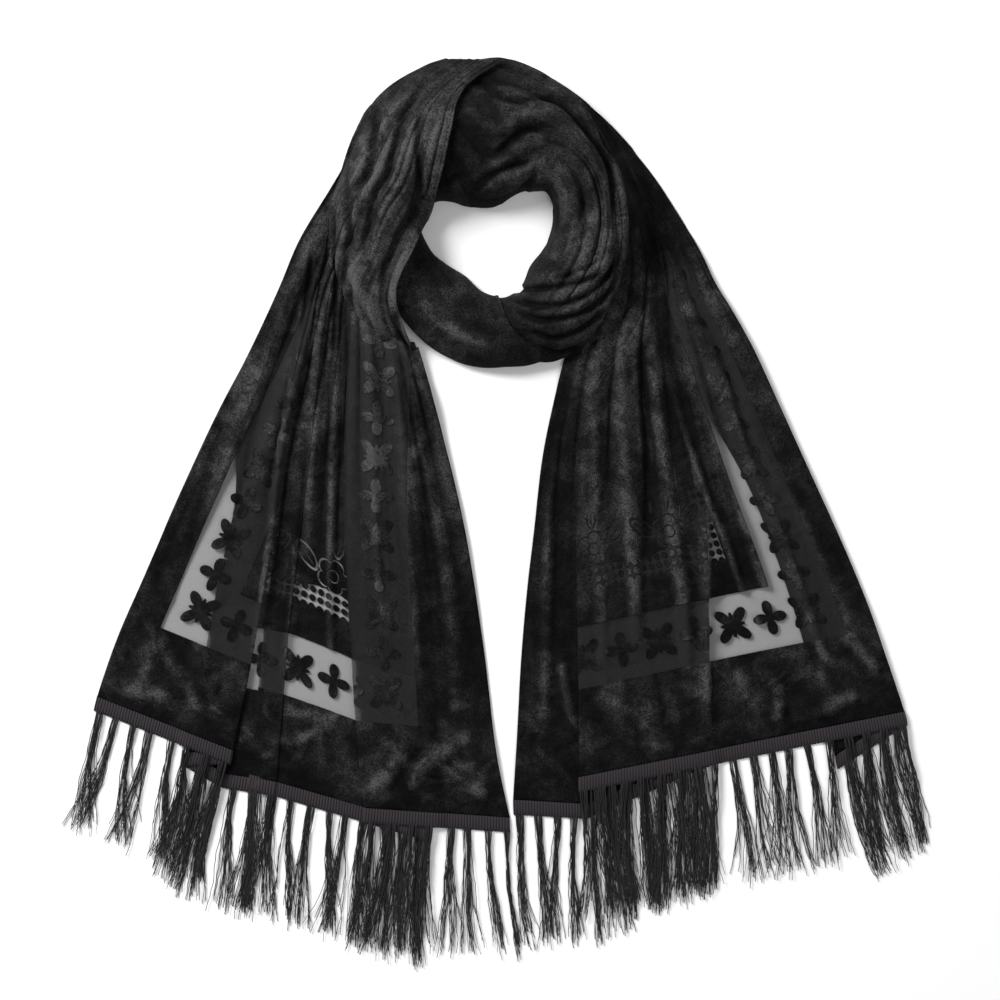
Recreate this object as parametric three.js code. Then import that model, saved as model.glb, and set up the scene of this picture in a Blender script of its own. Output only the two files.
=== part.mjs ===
// Evening stole of patterned velvet, laid flat on a surface and wound round its neck opening.
// Millimetres, +Z up, the surface is z = 0, the two fringed ends point towards -Y.
//
// How the shape is worked out:
//  - a low ring-shaped heap (the hidden folds) stands round the neck opening; heapHeight() is its top;
//  - every stretch of cloth is a wall laid over that heap: a point in plan, plus a lift along the
//    heap's normal, so that stretches which cross one another nest with clear air between them;
//  - the two ends are folded in knife pleats: their sections double back under each pleat, and the
//    right end's outer edge is turned under as well.
import * as THREE from 'three';

// ---- driving dimensions --------------------------------------------------------------------
const CLOTH = 1.2;          // thickness of the velvet wall
const BRAID = 1.6;          // thickness of the gimp braid heading
const BRAID_DEPTH = 12;     // depth of the heading along the cloth
const FRINGE = 1.6;         // thickness of the fringe where its yarns lie together
const SEAM = 0.3;           // air between two sewn pieces
const PLEAT_STEP = 2.0;     // rise from one layer of a pleat to the next
const PLEAT_LIFTED = 4;     // the depth at which a pleat has risen to its full step
const PLEAT_DOUBLED = 10;   // the depth from which its cloth fully doubles back
const PLEAT_OPENED = 6;     // width that a pleat of no depth takes up, lying open
const PLEAT_EASE = 1.5;     // flat cloth left between a panel and the fold that ends it
const FIRST_TUCK = 0.6;     // share of its slip that the left end's first fold takes at its bottom
const COVER = 3;            // how far a panel stays up beyond the fold that it covers
const VALLEY_SHARE = 0.3;    // share of a panel between two ridges that calls for a valley point
const RAMP = 13;            // length over which it then comes down
const EDGE_LIFTED = 6;      // the same two depths for an edge that is turned under
const EDGE_TURNED = 14;
const EDGE_DROPPED = 0.15;  // share of the turn by which its lower layer has come down
const EDGE_OPENED = 1.8;    // width of the last edge where it is not turned under

const CENTRE = { x: -0.9, y: 3.4 };           // moves the laid-out plan so that its middle is the origin
const NECK = { x: -8, y: 268 };             // middle of the neck opening in the plan
const HOLE_INSET = 5;                       // the heap stands this far back from the hole's outline
const CREST = 0.4;                          // where across the heap its top lies, 0 hole to 1 foot
const FLAT_ROWS = 4;        // rows of each end's table that lie flat and need no row between
const EDGE_TUCK = 0.985;                    // how far down the heap's inner side the cloth reaches

const LIFT = { core: -1.2, rightTail: 1.2, neckTurn: 3.8, bandStart: 2.2, bandEnd: 6.4, leftTail: 7.4 };

// The heap round the neck opening, by angle in degrees from +X:
// hole = outline of the opening, foot = where the heap reaches the surface, height = its top,
// slope = how gently it runs out at the foot (0.5 round, 1.3 soft).
const HEAP = [
  { turn: 0, hole: 58, foot: 162, height: 32, slope: 1.2 },
  { turn: 20, hole: 68, foot: 168, height: 34, slope: 1.2 },
  { turn: 42, hole: 75, foot: 170, height: 36, slope: 1.2 },
  { turn: 60, hole: 55, foot: 171, height: 38, slope: 1.0 },
  { turn: 76, hole: 36, foot: 178, height: 40, slope: 0.8 },
  { turn: 96, hole: 31, foot: 184, height: 42, slope: 0.8 },
  { turn: 120, hole: 39, foot: 180, height: 42, slope: 0.9 },
  { turn: 142, hole: 65, foot: 166, height: 40, slope: 1.1 },
  { turn: 162, hole: 70, foot: 162, height: 36, slope: 1.2 },
  { turn: 186, hole: 58, foot: 158, height: 32, slope: 1.2 },
  { turn: 210, hole: 46, foot: 146, height: 28, slope: 1.0 },
  { turn: 235, hole: 42, foot: 124, height: 25, slope: 0.6 },
  { turn: 262, hole: 52, foot: 124, height: 24, slope: 0.55 },
  { turn: 285, hole: 58, foot: 126, height: 25, slope: 0.6 },
  { turn: 306, hole: 56, foot: 138, height: 27, slope: 0.9 },
  { turn: 330, hole: 48, foot: 152, height: 30, slope: 1.1 },
];

// The left end, from its fringed hem up over the heap: outer edge, the visible edges of its two pleats
// and inner edge in plan, how deep each pleat's hidden fold goes, and how far the hem of the middle
// panel lies from that of the outer one at the first pleat (towards the neck is positive). The outer
// panel covers the first fold and the inner panel covers the second.
const LEFT_ROWS = [
  { outer: [-401, -187], first: [-266, -240], second: [-132, -298], inner: [12, -308], depthFirst: 42, slipFirst: -25, depthSecond: 61 },
  { outer: [-380, -127], first: [-250, -165], second: [-140, -225], inner: [-2, -240], depthFirst: 44, slipFirst: -16, depthSecond: 61 },
  { outer: [-353, -65], first: [-235, -86], second: [-146, -130], inner: [-14, -140], depthFirst: 45, slipFirst: -6, depthSecond: 61 },
  { outer: [-318, 15], first: [-218, 2], second: [-152, -20], inner: [-32, -25], depthFirst: 44, slipFirst: 0, depthSecond: 61 },
  { outer: [-283, 90], first: [-208, 81], second: [-152, 70], inner: [-54, 70], depthFirst: 42, slipFirst: 0, depthSecond: 58 },
  { outer: [-248, 158], first: [-191, 158], second: [-149, 158], inner: [-79, 161], depthFirst: 34, slipFirst: 0, depthSecond: 46 },
  { outer: [-220, 218], first: [-182, 216], second: [-150, 213], inner: [-98, 215], depthFirst: 18, slipFirst: 0, depthSecond: 24 },
  { outer: [-198, 270], first: [-172, 262], second: [-147, 255], inner: [-89, 255], depthFirst: 4, slipFirst: 0, depthSecond: 5 },
  { outer: [-168, 320], first: [-152, 309], second: [-131, 300], inner: [-79, 297], depthFirst: 0, slipFirst: 0, depthSecond: 0 },
  { outer: [-146, 357], first: [-132, 347], second: [-111, 336], inner: [-58, 329], depthFirst: 0, slipFirst: 0, depthSecond: 0 },
  { outer: [-128, 388], first: [-114, 377], second: [-93, 368], inner: [-46, 370], depthFirst: 0, slipFirst: 0, depthSecond: 0 },
  { outer: [-103, 416], first: [-91, 405], second: [-71, 396], inner: [-38, 402], depthFirst: 0, slipFirst: 0, depthSecond: 0 },
  { outer: [-72, 434], first: [-61, 427], second: [-45, 420], inner: [-22, 422], depthFirst: 0, slipFirst: 0, depthSecond: 0 },
  { outer: [-50, 442], first: [-38, 441], second: [-18, 441], inner: [6, 440], depthFirst: 0, slipFirst: 0, depthSecond: 0 },
];
// where the left fringe ends in plan
const LEFT_TIPS = { outer: [-434, -318], first: [-292, -374], second: [-146, -438], inner: [14, -448], depthFirst: 48, slipFirst: -26, depthSecond: 66 };

// The right end, likewise, from hem to neck: inner edge, the one pleat's visible edge, outer edge, the
// pleat's depth, how far the narrow panel's hem slips there and at the bottom of the fold, how much of
// the outer edge is turned under, and how far that part slips.
const RIGHT_ROWS = [
  { inner: [15, -290], pleat: [82, -267], outer: [405, -202], depth: 130, slip: -28, tuck: -4, under: 76, underSlip: -28 },
  { inner: [19, -225], pleat: [82, -208], outer: [388, -152], depth: 130, slip: -18, tuck: -3, under: 74, underSlip: -18 },
  { inner: [23, -150], pleat: [81, -140], outer: [367, -92], depth: 130, slip: -9, tuck: -2, under: 70, underSlip: -8 },
  { inner: [29, -80], pleat: [80, -70], outer: [341, -30], depth: 130, slip: 0, tuck: 0, under: 66, underSlip: 0 },
  { inner: [36, -20], pleat: [79, -10], outer: [310, 38], depth: 128, slip: 0, tuck: 0, under: 62, underSlip: 0 },
  { inner: [44, 50], pleat: [80, 55], outer: [279, 106], depth: 110, slip: 0, tuck: 0, under: 60, underSlip: 0 },
  { inner: [55, 105], pleat: [90, 108], outer: [254, 160], depth: 80, slip: 0, tuck: 0, under: 58, underSlip: 0 },
  { inner: [68, 156], pleat: [122, 156], outer: [233, 198], depth: 38, slip: 0, tuck: 0, under: 48, underSlip: 0 },
  { inner: [88, 196], pleat: [146, 198], outer: [216, 226], depth: 8, slip: 0, tuck: 0, under: 34, underSlip: 0 },
  { inner: [101, 232], pleat: [150, 232], outer: [204, 252], depth: 0, slip: 0, tuck: 0, under: 14, underSlip: 0 },
  { inner: [106, 264], pleat: [148, 266], outer: [191, 276], depth: 0, slip: 0, tuck: 0, under: 0, underSlip: 0 },
  { inner: [105, 296], pleat: [140, 298], outer: [174, 304], depth: 0, slip: 0, tuck: 0, under: 0, underSlip: 0 },
  { inner: [97, 326], pleat: [126, 332], outer: [154, 334], depth: 0, slip: 0, tuck: 0, under: 0, underSlip: 0 },
  { inner: [85, 350], pleat: [108, 358], outer: [131, 362], depth: 0, slip: 0, tuck: 0, under: 0, underSlip: 0 },
  { inner: [67, 374], pleat: [84, 384], outer: [104, 390], depth: 0, slip: 0, tuck: 0, under: 0, underSlip: 0 },
  { inner: [46, 396], pleat: [60, 408], outer: [74, 416], depth: 0, slip: 0, tuck: 0, under: 0, underSlip: 0 },
  { inner: [24, 410], pleat: [32, 424], outer: [44, 434], depth: 0, slip: 0, tuck: 0, under: 0, underSlip: 0 },
  { inner: [2, 416], pleat: [6, 432], outer: [12, 446], depth: 0, slip: 0, tuck: 0, under: 0, underSlip: 0 },
];
const RIGHT_TIPS = { inner: [21, -436], pleat: [84, -412], outer: [434, -336], depth: 134, slip: -26, tuck: -4, under: 80, underSlip: -26 };

// Soft folds that run the length of an end, one row for each: the panel they are on (0 first), their
// place across it, and how high they stand at the hem, half-way up and at the neck.
const LEFT_FOLDS = [
  { panel: 0, across: 0.3, hem: 1.0, half: 4.5, neck: 3.0 },
  { panel: 0, across: 0.8, hem: 2.6, half: 5.0, neck: 2.0 },
  { panel: 1, across: 0.5, hem: 2.2, half: 5.0, neck: 4.0 },
  { panel: 2, across: 0.35, hem: 0.8, half: 3.5, neck: 3.0 },
  { panel: 2, across: 0.8, hem: 0.4, half: 0.6, neck: 0.4 },
  { panel: 2, across: 0.93, hem: 0, half: 0, neck: 0 },
];
const RIGHT_FOLDS = [
  { panel: 0, across: 0.3, hem: 1.2, half: 0.4, neck: 0 },
  { panel: 1, across: 0.3, hem: 2.4, half: 1.6, neck: 0 },
  { panel: 1, across: 0.55, hem: 4.5, half: 4.0, neck: 0 },
  { panel: 1, across: 0.8, hem: 1.4, half: 2.0, neck: 0 },
];

// The gathered turn round the back of the neck: each row is a line from the hole (at angle
// holeTurn) out to the rim (at angle rimTurn and radius rim).
const NECK_ROWS = [
  { holeTurn: -97, rimTurn: -72, rim: 122 },
  { holeTurn: -87, rimTurn: -64, rim: 130 },
  { holeTurn: -72, rimTurn: -56, rim: 133 },
  { holeTurn: -58, rimTurn: -46, rim: 133 },
  { holeTurn: -40, rimTurn: -31, rim: 132 },
  { holeTurn: -16, rimTurn: -16, rim: 131 },
  { holeTurn: 3, rimTurn: -1, rim: 132 },
  { holeTurn: 17, rimTurn: 14, rim: 135 },
  { holeTurn: 30, rimTurn: 29, rim: 140 },
  { holeTurn: 43, rimTurn: 43, rim: 143 },
  { holeTurn: 54, rimTurn: 57, rim: 158 },
  { holeTurn: 64, rimTurn: 69, rim: 164 },
  { holeTurn: 75, rimTurn: 78, rim: 171 },
  { holeTurn: 90, rimTurn: 86, rim: 178 },
  { holeTurn: 108, rimTurn: 92, rim: 178 },
  { holeTurn: 124, rimTurn: 97, rim: 172 },
  { holeTurn: 138, rimTurn: 104, rim: 160 },
  { holeTurn: 150, rimTurn: 112, rim: 146 },
];
// soft gathers of the neck turn: across = 0 at the hole, 1 at the rim
const NECK_FOLDS = [
  { across: 0.2, rise: 1.5 },
  { across: 0.36, rise: 3.6 },
  { across: 0.5, rise: 2.6 },
  { across: 0.64, rise: 4.2 },
  { across: 0.8, rise: 3.2 },
];

// The smooth band across the throat, from under the left end to its rolled diagonal edge.
const BAND_ROWS = [
  { holeTurn: 156, rimTurn: 206, rim: 112 },
  { holeTurn: 168, rimTurn: 226, rim: 116 },
  { holeTurn: 180, rimTurn: 240, rim: 119 },
  { holeTurn: 194, rimTurn: 250, rim: 121 },
  { holeTurn: 212, rimTurn: 258, rim: 122 },
  { holeTurn: 235, rimTurn: 268, rim: 122 },
  { holeTurn: 256, rimTurn: 278, rim: 121 },
  { holeTurn: 268, rimTurn: 288, rim: 124 },
  { holeTurn: 276, rimTurn: 297, rim: 126 },
];

// ---- small helpers -------------------------------------------------------------------------
const radians = THREE.MathUtils.degToRad;
const mix = THREE.MathUtils.lerp;
const smooth = (v, from, to) => THREE.MathUtils.smoothstep(v, from, to);

// Catmull-Rom value between b and c, at t from 0 to 1
function spline(a, b, c, d, t) {
  return b + 0.5 * t * (c - a + t * (2 * a - 5 * b + 4 * c - d + t * (3 * (b - c) + d - a)));
}

// one row between the rows of a table, at position s in rows; numbers and [x, y] pairs both blend
function rowAt(rows, s) {
  const i = Math.min(Math.floor(s), rows.length - 2);
  const pick = (k) => rows[Math.min(Math.max(i + k, 0), rows.length - 1)];
  const blend = (key, part) => {
    const value = (row) => (part === undefined ? row[key] : row[key][part]);
    return spline(value(pick(-1)), value(pick(0)), value(pick(1)), value(pick(2)), s - i);
  };
  const row = {};
  for (const key of Object.keys(rows[0])) {
    row[key] = Array.isArray(rows[0][key]) ? [blend(key, 0), blend(key, 1)] : blend(key);
  }
  return row;
}

// a table's rows, the first `plain` as they stand and the rest with a row added between each two
function refine(rows, plain = 0) {
  const last = rows.length - 1;
  const places = Array.from({ length: plain }, (_, k) => k);
  for (let s = plain; s <= last; s += 0.5) places.push(s);
  return places.map((s) => ({ ...rowAt(rows, s), share: s / last }));
}

// ---- the heap that everything lies over ----------------------------------------------------
function heapAt(degrees) {
  const turn = THREE.MathUtils.euclideanModulo(degrees, 360);
  const count = HEAP.length;
  let i = count - 1;
  while (i > 0 && HEAP[i].turn > turn) i -= 1;
  const here = HEAP[i];
  const next = HEAP[(i + 1) % count];
  const span = THREE.MathUtils.euclideanModulo(next.turn - here.turn, 360);
  const t = (turn - here.turn) / span;
  const before = HEAP[(i + count - 1) % count];
  const after = HEAP[(i + 2) % count];
  const value = (key) => spline(before[key], here[key], next[key], after[key], t);
  const inner = value('hole') + HOLE_INSET;
  const foot = value('foot');
  return { inner, foot, crest: mix(inner, foot, CREST), height: value('height'), slope: value('slope') };
}

// height of the heap's top at a place in plan: a superellipse inside the crest, a soft run-out beyond
function heapHeight(x, y) {
  const dx = x - NECK.x;
  const dy = y - NECK.y;
  const ring = heapAt(THREE.MathUtils.radToDeg(Math.atan2(dy, dx)));
  const r = Math.hypot(dx, dy);
  if (r <= ring.inner || r >= ring.foot) return 0;
  if (r < ring.crest) {
    const t = (ring.crest - r) / (ring.crest - ring.inner);
    return ring.height * (1 - t ** 2.2) ** 0.556;
  }
  const u = (r - ring.crest) / (ring.foot - ring.crest);
  return ring.height * (1 - u * u) ** ring.slope;
}

// a point over the heap: its place in plan, raised by lift along the heap's normal
function drape(x, y, lift) {
  const d = 0.5;
  const slopeX = (heapHeight(x + d, y) - heapHeight(x - d, y)) / (2 * d);
  const slopeY = (heapHeight(x, y + d) - heapHeight(x, y - d)) / (2 * d);
  const normal = new THREE.Vector3(-slopeX, -slopeY, 1).normalize();
  return new THREE.Vector3(x, y, heapHeight(x, y)).addScaledVector(normal, lift);
}

// how far a place in plan is beyond the crest: 0 at the crest, 1 at the foot
function pastCrest(x, y) {
  const ring = heapAt(THREE.MathUtils.radToDeg(Math.atan2(y - NECK.y, x - NECK.x)));
  return (Math.hypot(x - NECK.x, y - NECK.y) - ring.crest) / (ring.foot - ring.crest);
}

// ---- closed solids -------------------------------------------------------------------------
function geometry(points, triangles) {
  const made = new THREE.BufferGeometry();
  made.setAttribute('position', new THREE.Float32BufferAttribute(points.flatMap((p) => p.toArray()), 3));
  made.setIndex(triangles);
  made.computeVertexNormals();
  return made;
}

// a wall between two grids of points, closed round its four edges
function wall(top, bottom) {
  const rows = top.length;
  const columns = top[0].length;
  const points = [...top.flat(), ...bottom.flat()];
  const at = (side, i, j) => side * rows * columns + i * columns + j;
  const triangles = [];
  const quad = (a, b, c, d) => triangles.push(a, b, c, a, c, d);
  for (let i = 0; i + 1 < rows; i += 1) {
    for (let j = 0; j + 1 < columns; j += 1) {
      quad(at(0, i, j), at(0, i, j + 1), at(0, i + 1, j + 1), at(0, i + 1, j));
      quad(at(1, i, j), at(1, i + 1, j), at(1, i + 1, j + 1), at(1, i, j + 1));
    }
    quad(at(0, i, 0), at(0, i + 1, 0), at(1, i + 1, 0), at(1, i, 0));
    const last = columns - 1;
    quad(at(0, i, last), at(1, i, last), at(1, i + 1, last), at(0, i + 1, last));
  }
  for (let j = 0; j + 1 < columns; j += 1) {
    quad(at(0, 0, j), at(1, 0, j), at(1, 0, j + 1), at(0, 0, j + 1));
    const last = rows - 1;
    quad(at(0, last, j), at(0, last, j + 1), at(1, last, j + 1), at(1, last, j));
  }
  return geometry(points, triangles);
}

// closed sections joined round a full turn
function closedRing(sections) {
  const around = sections.length;
  const count = sections[0].length;
  const triangles = [];
  for (let i = 0; i < around; i += 1) {
    const next = (i + 1) % around;
    for (let j = 0; j < count; j += 1) {
      const k = (j + 1) % count;
      triangles.push(i * count + j, next * count + j, next * count + k);
      triangles.push(i * count + j, next * count + k, i * count + k);
    }
  }
  return geometry(sections.flat(), triangles);
}

// ---- pleated ends --------------------------------------------------------------------------
// The hidden part of a pleat, from the lower panel to the upper one: how far each point lies from the
// visible edge under the upper panel, its level, and how far it slips. Its cloth runs to the bottom of
// the fold, turns, and comes back; a pleat of no depth lies open.
function hiddenFold({ depth, step, doubled, tuck }) {
  const folded = [
    { push: depth, rise: 0, share: 1 },
    { push: depth + step / 2, rise: 0.5, share: 1 },
    { push: depth, rise: 1, share: 1 },
    { push: 0, rise: 1, share: 0 },
    { push: -step / 2, rise: 1.5, share: 0 },
  ];
  return folded.map(({ push, rise, share }, k) => {
    const t = k / folded.length;
    return {
      push: mix(-PLEAT_OPENED * (1 - t), push, doubled),
      level: step * mix(2 * t, rise, doubled),
      slip: tuck * share * doubled,
    };
  });
}

// a pleat with what follows from its depth; `over` pleats are covered by the panel before them
function pleat(over, depth, slip, tuck) {
  const doubled = smooth(depth, PLEAT_LIFTED, PLEAT_DOUBLED);
  const step = PLEAT_STEP * smooth(depth, 0, PLEAT_LIFTED);
  return {
    over, depth, step, doubled, tuck,
    reach: Math.max(depth, 0) + COVER,
    height: 2 * step,
    ease: PLEAT_OPENED * (1 - doubled) + PLEAT_EASE,
    slip: slip * doubled,
  };
}

// One section of a pleated end, as a chain of centre-line points {x, y, along, level}. `along` is
// the distance across the section and `level` the height over the lowest layer. Each panel runs
// between two edges: it stays up over the folds that it covers and lies low elsewhere.
function pleatChain(edges, pleats, folds, share, turned) {
  const first = edges[0];
  const last = edges[edges.length - 1];
  const width = Math.hypot(last[0] - first[0], last[1] - first[1]);
  const across = [(last[0] - first[0]) / width, (last[1] - first[1]) / width];
  const towardsNeck = [-across[1], across[0]];
  const chain = [];
  const add = (point, level, push = 0, slip = 0) => {
    const x = point[0] + across[0] * push + towardsNeck[0] * slip;
    const y = point[1] + across[1] * push + towardsNeck[1] * slip;
    chain.push({ x, y, along: x * across[0] + y * across[1], level, across });
  };
  edges.slice(1).forEach((edge, index) => {
    const start = edges[index];
    const length = Math.hypot(edge[0] - start[0], edge[1] - start[1]);
    const between = (distance) => [
      mix(start[0], edge[0], distance / length),
      mix(start[1], edge[1], distance / length),
    ];
    const before = pleats[index - 1];
    const after = pleats[index];
    const coverBefore = before && !before.over ? before : undefined;
    const coverAfter = after ? (after.over ? after : undefined) : turned;
    const nearTop = coverBefore ? coverBefore.reach : 0;
    const farTop = coverAfter ? length - coverAfter.reach : length;
    const nearFoot = coverBefore ? nearTop + RAMP : 0;
    const farFoot = coverAfter ? farTop - RAMP : length;
    const tight = 1 - smooth(farFoot - nearFoot, 0, RAMP);
    const heightAt = (t) => tight * mix(coverBefore?.height ?? 0, coverAfter?.height ?? 0, t);
    let from = coverBefore ? mix(nearFoot, mix(nearTop, farTop, 1 / 3), tight) : 0;
    let to = coverAfter ? mix(farFoot, mix(nearTop, farTop, 2 / 3), tight) : length;
    if (before?.over) {
      add(start, 0, before.ease, before.slip);
      from = before.ease;
    } else {
      add(start, coverBefore?.height ?? 0);
    }
    if (coverBefore) {
      add(between(nearTop), coverBefore.height);
      add(between(from), heightAt(1 / 3));
    }
    if (after && !after.over) to = length - after.ease;
    const ridges = folds.filter((fold) => fold.panel === index);
    const room = smooth(to - from, RAMP / 2, 4 * RAMP);
    const base = (t) => mix(coverBefore ? heightAt(1 / 3) : 0, coverAfter ? heightAt(2 / 3) : 0, t);
    ridges.forEach((ridge, k) => {
      const previous = k > 0 ? ridges[k - 1].across : 0;
      const valley = (previous + ridge.across) / 2;
      if (ridge.across - previous > VALLEY_SHARE) add(between(mix(from, to, valley)), base(valley));
      add(between(mix(from, to, ridge.across)), base(ridge.across) + room * riseOf(ridge, share));
    });
    if (coverAfter) {
      add(between(to), heightAt(2 / 3));
      add(between(farTop), coverAfter.height);
    }
    if (after && !after.over) {
      add(edge, 0, -after.ease, after.slip);
      hiddenFold(after).forEach(({ push, level, slip }) => add(edge, level, push, slip));
    } else {
      add(edge, coverAfter?.height ?? 0);
    }
    if (after?.over) hiddenFold(after).reverse().forEach(({ push, level, slip }) => add(edge, level, -push, slip));
  });
  if (turned) {
    const { height, doubled, depth, slip } = turned;
    const low = height * (1 - smooth(doubled, 0, EDGE_DROPPED));
    add(last, (height + low) / 2, mix(EDGE_OPENED / 3, height / 2, doubled));
    add(last, low, mix((EDGE_OPENED * 2) / 3, 0, doubled));
    add(last, low, mix(EDGE_OPENED, -depth, doubled), slip * doubled);
  }
  return chain;
}

// the height of a soft fold at a share of the way from the hem to the neck
function riseOf(fold, share) {
  return share < 0.5 ? mix(fold.hem, fold.half, share * 2) : mix(fold.half, fold.neck, share * 2 - 1);
}

// the two faces of a wall round a chain, laid over the heap
function faces(chain, thickness, liftAt) {
  const top = [];
  const bottom = [];
  chain.forEach((point, i) => {
    const before = chain[Math.max(i - 1, 0)];
    const after = chain[Math.min(i + 1, chain.length - 1)];
    const unit = (p, q) => {
      const size = Math.hypot(q.along - p.along, q.level - p.level) || 1;
      return [(q.along - p.along) / size, (q.level - p.level) / size];
    };
    const [a, b] = [unit(before, point), unit(point, after)];
    const run = a[0] + b[0];
    const climb = a[1] + b[1];
    const size = Math.hypot(run, climb) || 1;
    const lift = liftAt(point.x, point.y);
    for (const [side, list] of [[0.5, top], [-0.5, bottom]]) {
      const push = (-climb / size) * thickness * side;
      const rise = (run / size) * thickness * side;
      const x = point.x + point.across[0] * push;
      const y = point.y + point.across[1] * push;
      list.push(drape(x, y, lift + point.level + rise));
    }
  });
  return { top, bottom };
}

const leftChain = (row) => pleatChain(
  [row.outer, row.first, row.second, row.inner],
  [pleat(true, row.depthFirst, row.slipFirst, row.slipFirst * FIRST_TUCK), pleat(false, row.depthSecond, 0, 0)],
  LEFT_FOLDS,
  row.share,
);
const rightChain = (row) => pleatChain(
  [row.inner, row.pleat, row.outer],
  [pleat(false, row.depth, row.slip, row.tuck)],
  RIGHT_FOLDS,
  row.share,
  {
    depth: row.under,
    reach: Math.max(row.under, 0) + COVER,
    height: PLEAT_STEP * smooth(row.under, 0, EDGE_LIFTED),
    doubled: smooth(row.under, EDGE_LIFTED, EDGE_TURNED),
    slip: row.underSlip,
  },
);

// the left end rises over the throat and neck turns, and stays up where it rolls over the back
function leftLift(x, y) {
  const turn = THREE.MathUtils.radToDeg(Math.atan2(y - NECK.y, x - NECK.x));
  const upper = turn > 0 ? 1 - smooth(turn, 132, 160) : 0;
  const low = mix(CLOTH / 2, LIFT.leftTail, upper);
  return mix(LIFT.leftTail, low, smooth(pastCrest(x, y), 0.5, 1.1));
}

function rightLift(x, y) {
  return mix(LIFT.rightTail, CLOTH / 2, smooth(pastCrest(x, y), 0.6, 1.1));
}

function pleatedEnd(rows, chainOf, liftAt) {
  const sections = refine(rows, FLAT_ROWS).map((row) => faces(chainOf(row), CLOTH, liftAt));
  return wall(sections.map((s) => s.top), sections.map((s) => s.bottom));
}

// a strip that goes on past the hem, from one distance to another towards the fringe's tips
function beyondHem(hem, tips, chainOf, thickness, from, to, steps) {
  const length = Math.hypot(tips.outer[0] - hem.outer[0], tips.outer[1] - hem.outer[1]);
  const lift = () => thickness / 2;
  const sections = Array.from({ length: steps + 1 }, (_, k) => {
    const t = mix(from, to, k / steps) / length;
    const row = { share: 0 };
    for (const key of Object.keys(hem)) {
      row[key] = Array.isArray(hem[key])
        ? [mix(hem[key][0], tips[key][0], t), mix(hem[key][1], tips[key][1], t)]
        : mix(hem[key], tips[key], t);
    }
    return faces(chainOf(row), thickness, lift);
  });
  sections.reverse();
  return wall(sections.map((s) => s.top), sections.map((s) => s.bottom));
}

// ---- turns round the neck ------------------------------------------------------------------
// a point on a line from the hole to the rim; across runs 0 to 1, crowded where the heap is steep
function turnPoint(row, across) {
  const turn = mix(row.holeTurn, row.rimTurn, across);
  const ring = heapAt(turn);
  const rim = heapAt(row.rimTurn);
  const rimShare = (row.rim - rim.crest) / (rim.foot - rim.crest);
  const bend = 0.36;
  const r = across < bend
    ? ring.crest - EDGE_TUCK * (ring.crest - ring.inner) * Math.cos((Math.PI / 2) * (across / bend))
    : ring.crest + (ring.foot - ring.crest) * rimShare * ((across - bend) / (1 - bend));
  const angle = radians(turn);
  return { x: NECK.x + r * Math.cos(angle), y: NECK.y + r * Math.sin(angle) };
}

function turnedCloth(rows, columns, liftAt) {
  const fine = refine(rows);
  const layer = (side) => fine.map((row, i) => columns.map((across) => {
    const point = turnPoint(row, across);
    return drape(point.x, point.y, liftAt(i / (fine.length - 1), across) + side * CLOTH / 2);
  }));
  return wall(layer(1), layer(-1));
}

function neckTurn() {
  const columns = [0, 0.06, 0.13, ...NECK_FOLDS.flatMap((fold, i) => {
    const next = NECK_FOLDS[i + 1];
    return next ? [fold.across, (fold.across + next.across) / 2] : [fold.across];
  }), 0.92, 1];
  const lift = (share, across) => {
    const fade = smooth(share, 0.1, 0.2) * (1 - smooth(share, 0.64, 0.78));
    const fold = NECK_FOLDS.find((one) => one.across === across);
    return LIFT.neckTurn + (fold ? fold.rise * fade : 0);
  };
  return turnedCloth(NECK_ROWS, columns, lift);
}

function frontBand() {
  const columns = [0, 0.07, 0.15, 0.25, 0.36, 0.5, 0.66, 0.82, 0.93, 1];
  const lift = (share) => mix(LIFT.bandStart, LIFT.bandEnd, smooth(share, 0.35, 0.8));
  return turnedCloth(BAND_ROWS, columns, lift);
}

// the layers nobody sees: one rounded ring with a flat underside and a groove round each edge
function hiddenFolds() {
  const steps = 30;
  const groove = 1.5;
  const sections = Array.from({ length: steps }, (_, k) => {
    const turn = (360 * k) / steps;
    const ring = heapAt(turn);
    const angle = radians(turn);
    const at = (r, z) => new THREE.Vector3(NECK.x + r * Math.cos(angle), NECK.y + r * Math.sin(angle), z);
    const over = (r) => drape(NECK.x + r * Math.cos(angle), NECK.y + r * Math.sin(angle), LIFT.core);
    const rimShares = [0.25, 0.5, 0.75];
    const holeShares = [0.9, 0.66, 0.33, 0];
    const outer = ring.foot - 22;
    const edge = over(outer).z;
    return [
      at(ring.inner + 4, 0),
      at(ring.inner + 4 + groove, 2.4),
      at(ring.inner + 4, 4.2),
      ...holeShares.map((t) => over(ring.crest - t * (ring.crest - ring.inner))),
      ...rimShares.map((u) => over(mix(ring.crest, outer, u))),
      at(outer, edge),
      at(outer - groove, edge * 0.5),
      at(outer, 0),
    ];
  });
  return closedRing(sections.map((section) => section.reverse()));
}

// ---- the stole -----------------------------------------------------------------------------
const VELVET = { color: 0x0c0b0c, roughness: 0.85, metalness: 0 };
const GIMP = { color: 0x111012, roughness: 0.6, metalness: 0 };
const YARN = { color: 0x0e0d0f, roughness: 0.5, metalness: 0 };

const stole = new THREE.Group();

function addPiece(name, shape, finish) {
  const mesh = new THREE.Mesh(shape, new THREE.MeshStandardMaterial(finish));
  mesh.name = name;
  mesh.position.set(CENTRE.x, CENTRE.y, 0);
  stole.add(mesh);
}

addPiece('hidden_folds', hiddenFolds(), VELVET);
addPiece('right_tail', pleatedEnd(RIGHT_ROWS, rightChain, rightLift), VELVET);
addPiece('neck_turn', neckTurn(), VELVET);
addPiece('front_band', frontBand(), VELVET);
addPiece('left_tail', pleatedEnd(LEFT_ROWS, leftChain, leftLift), VELVET);

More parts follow.
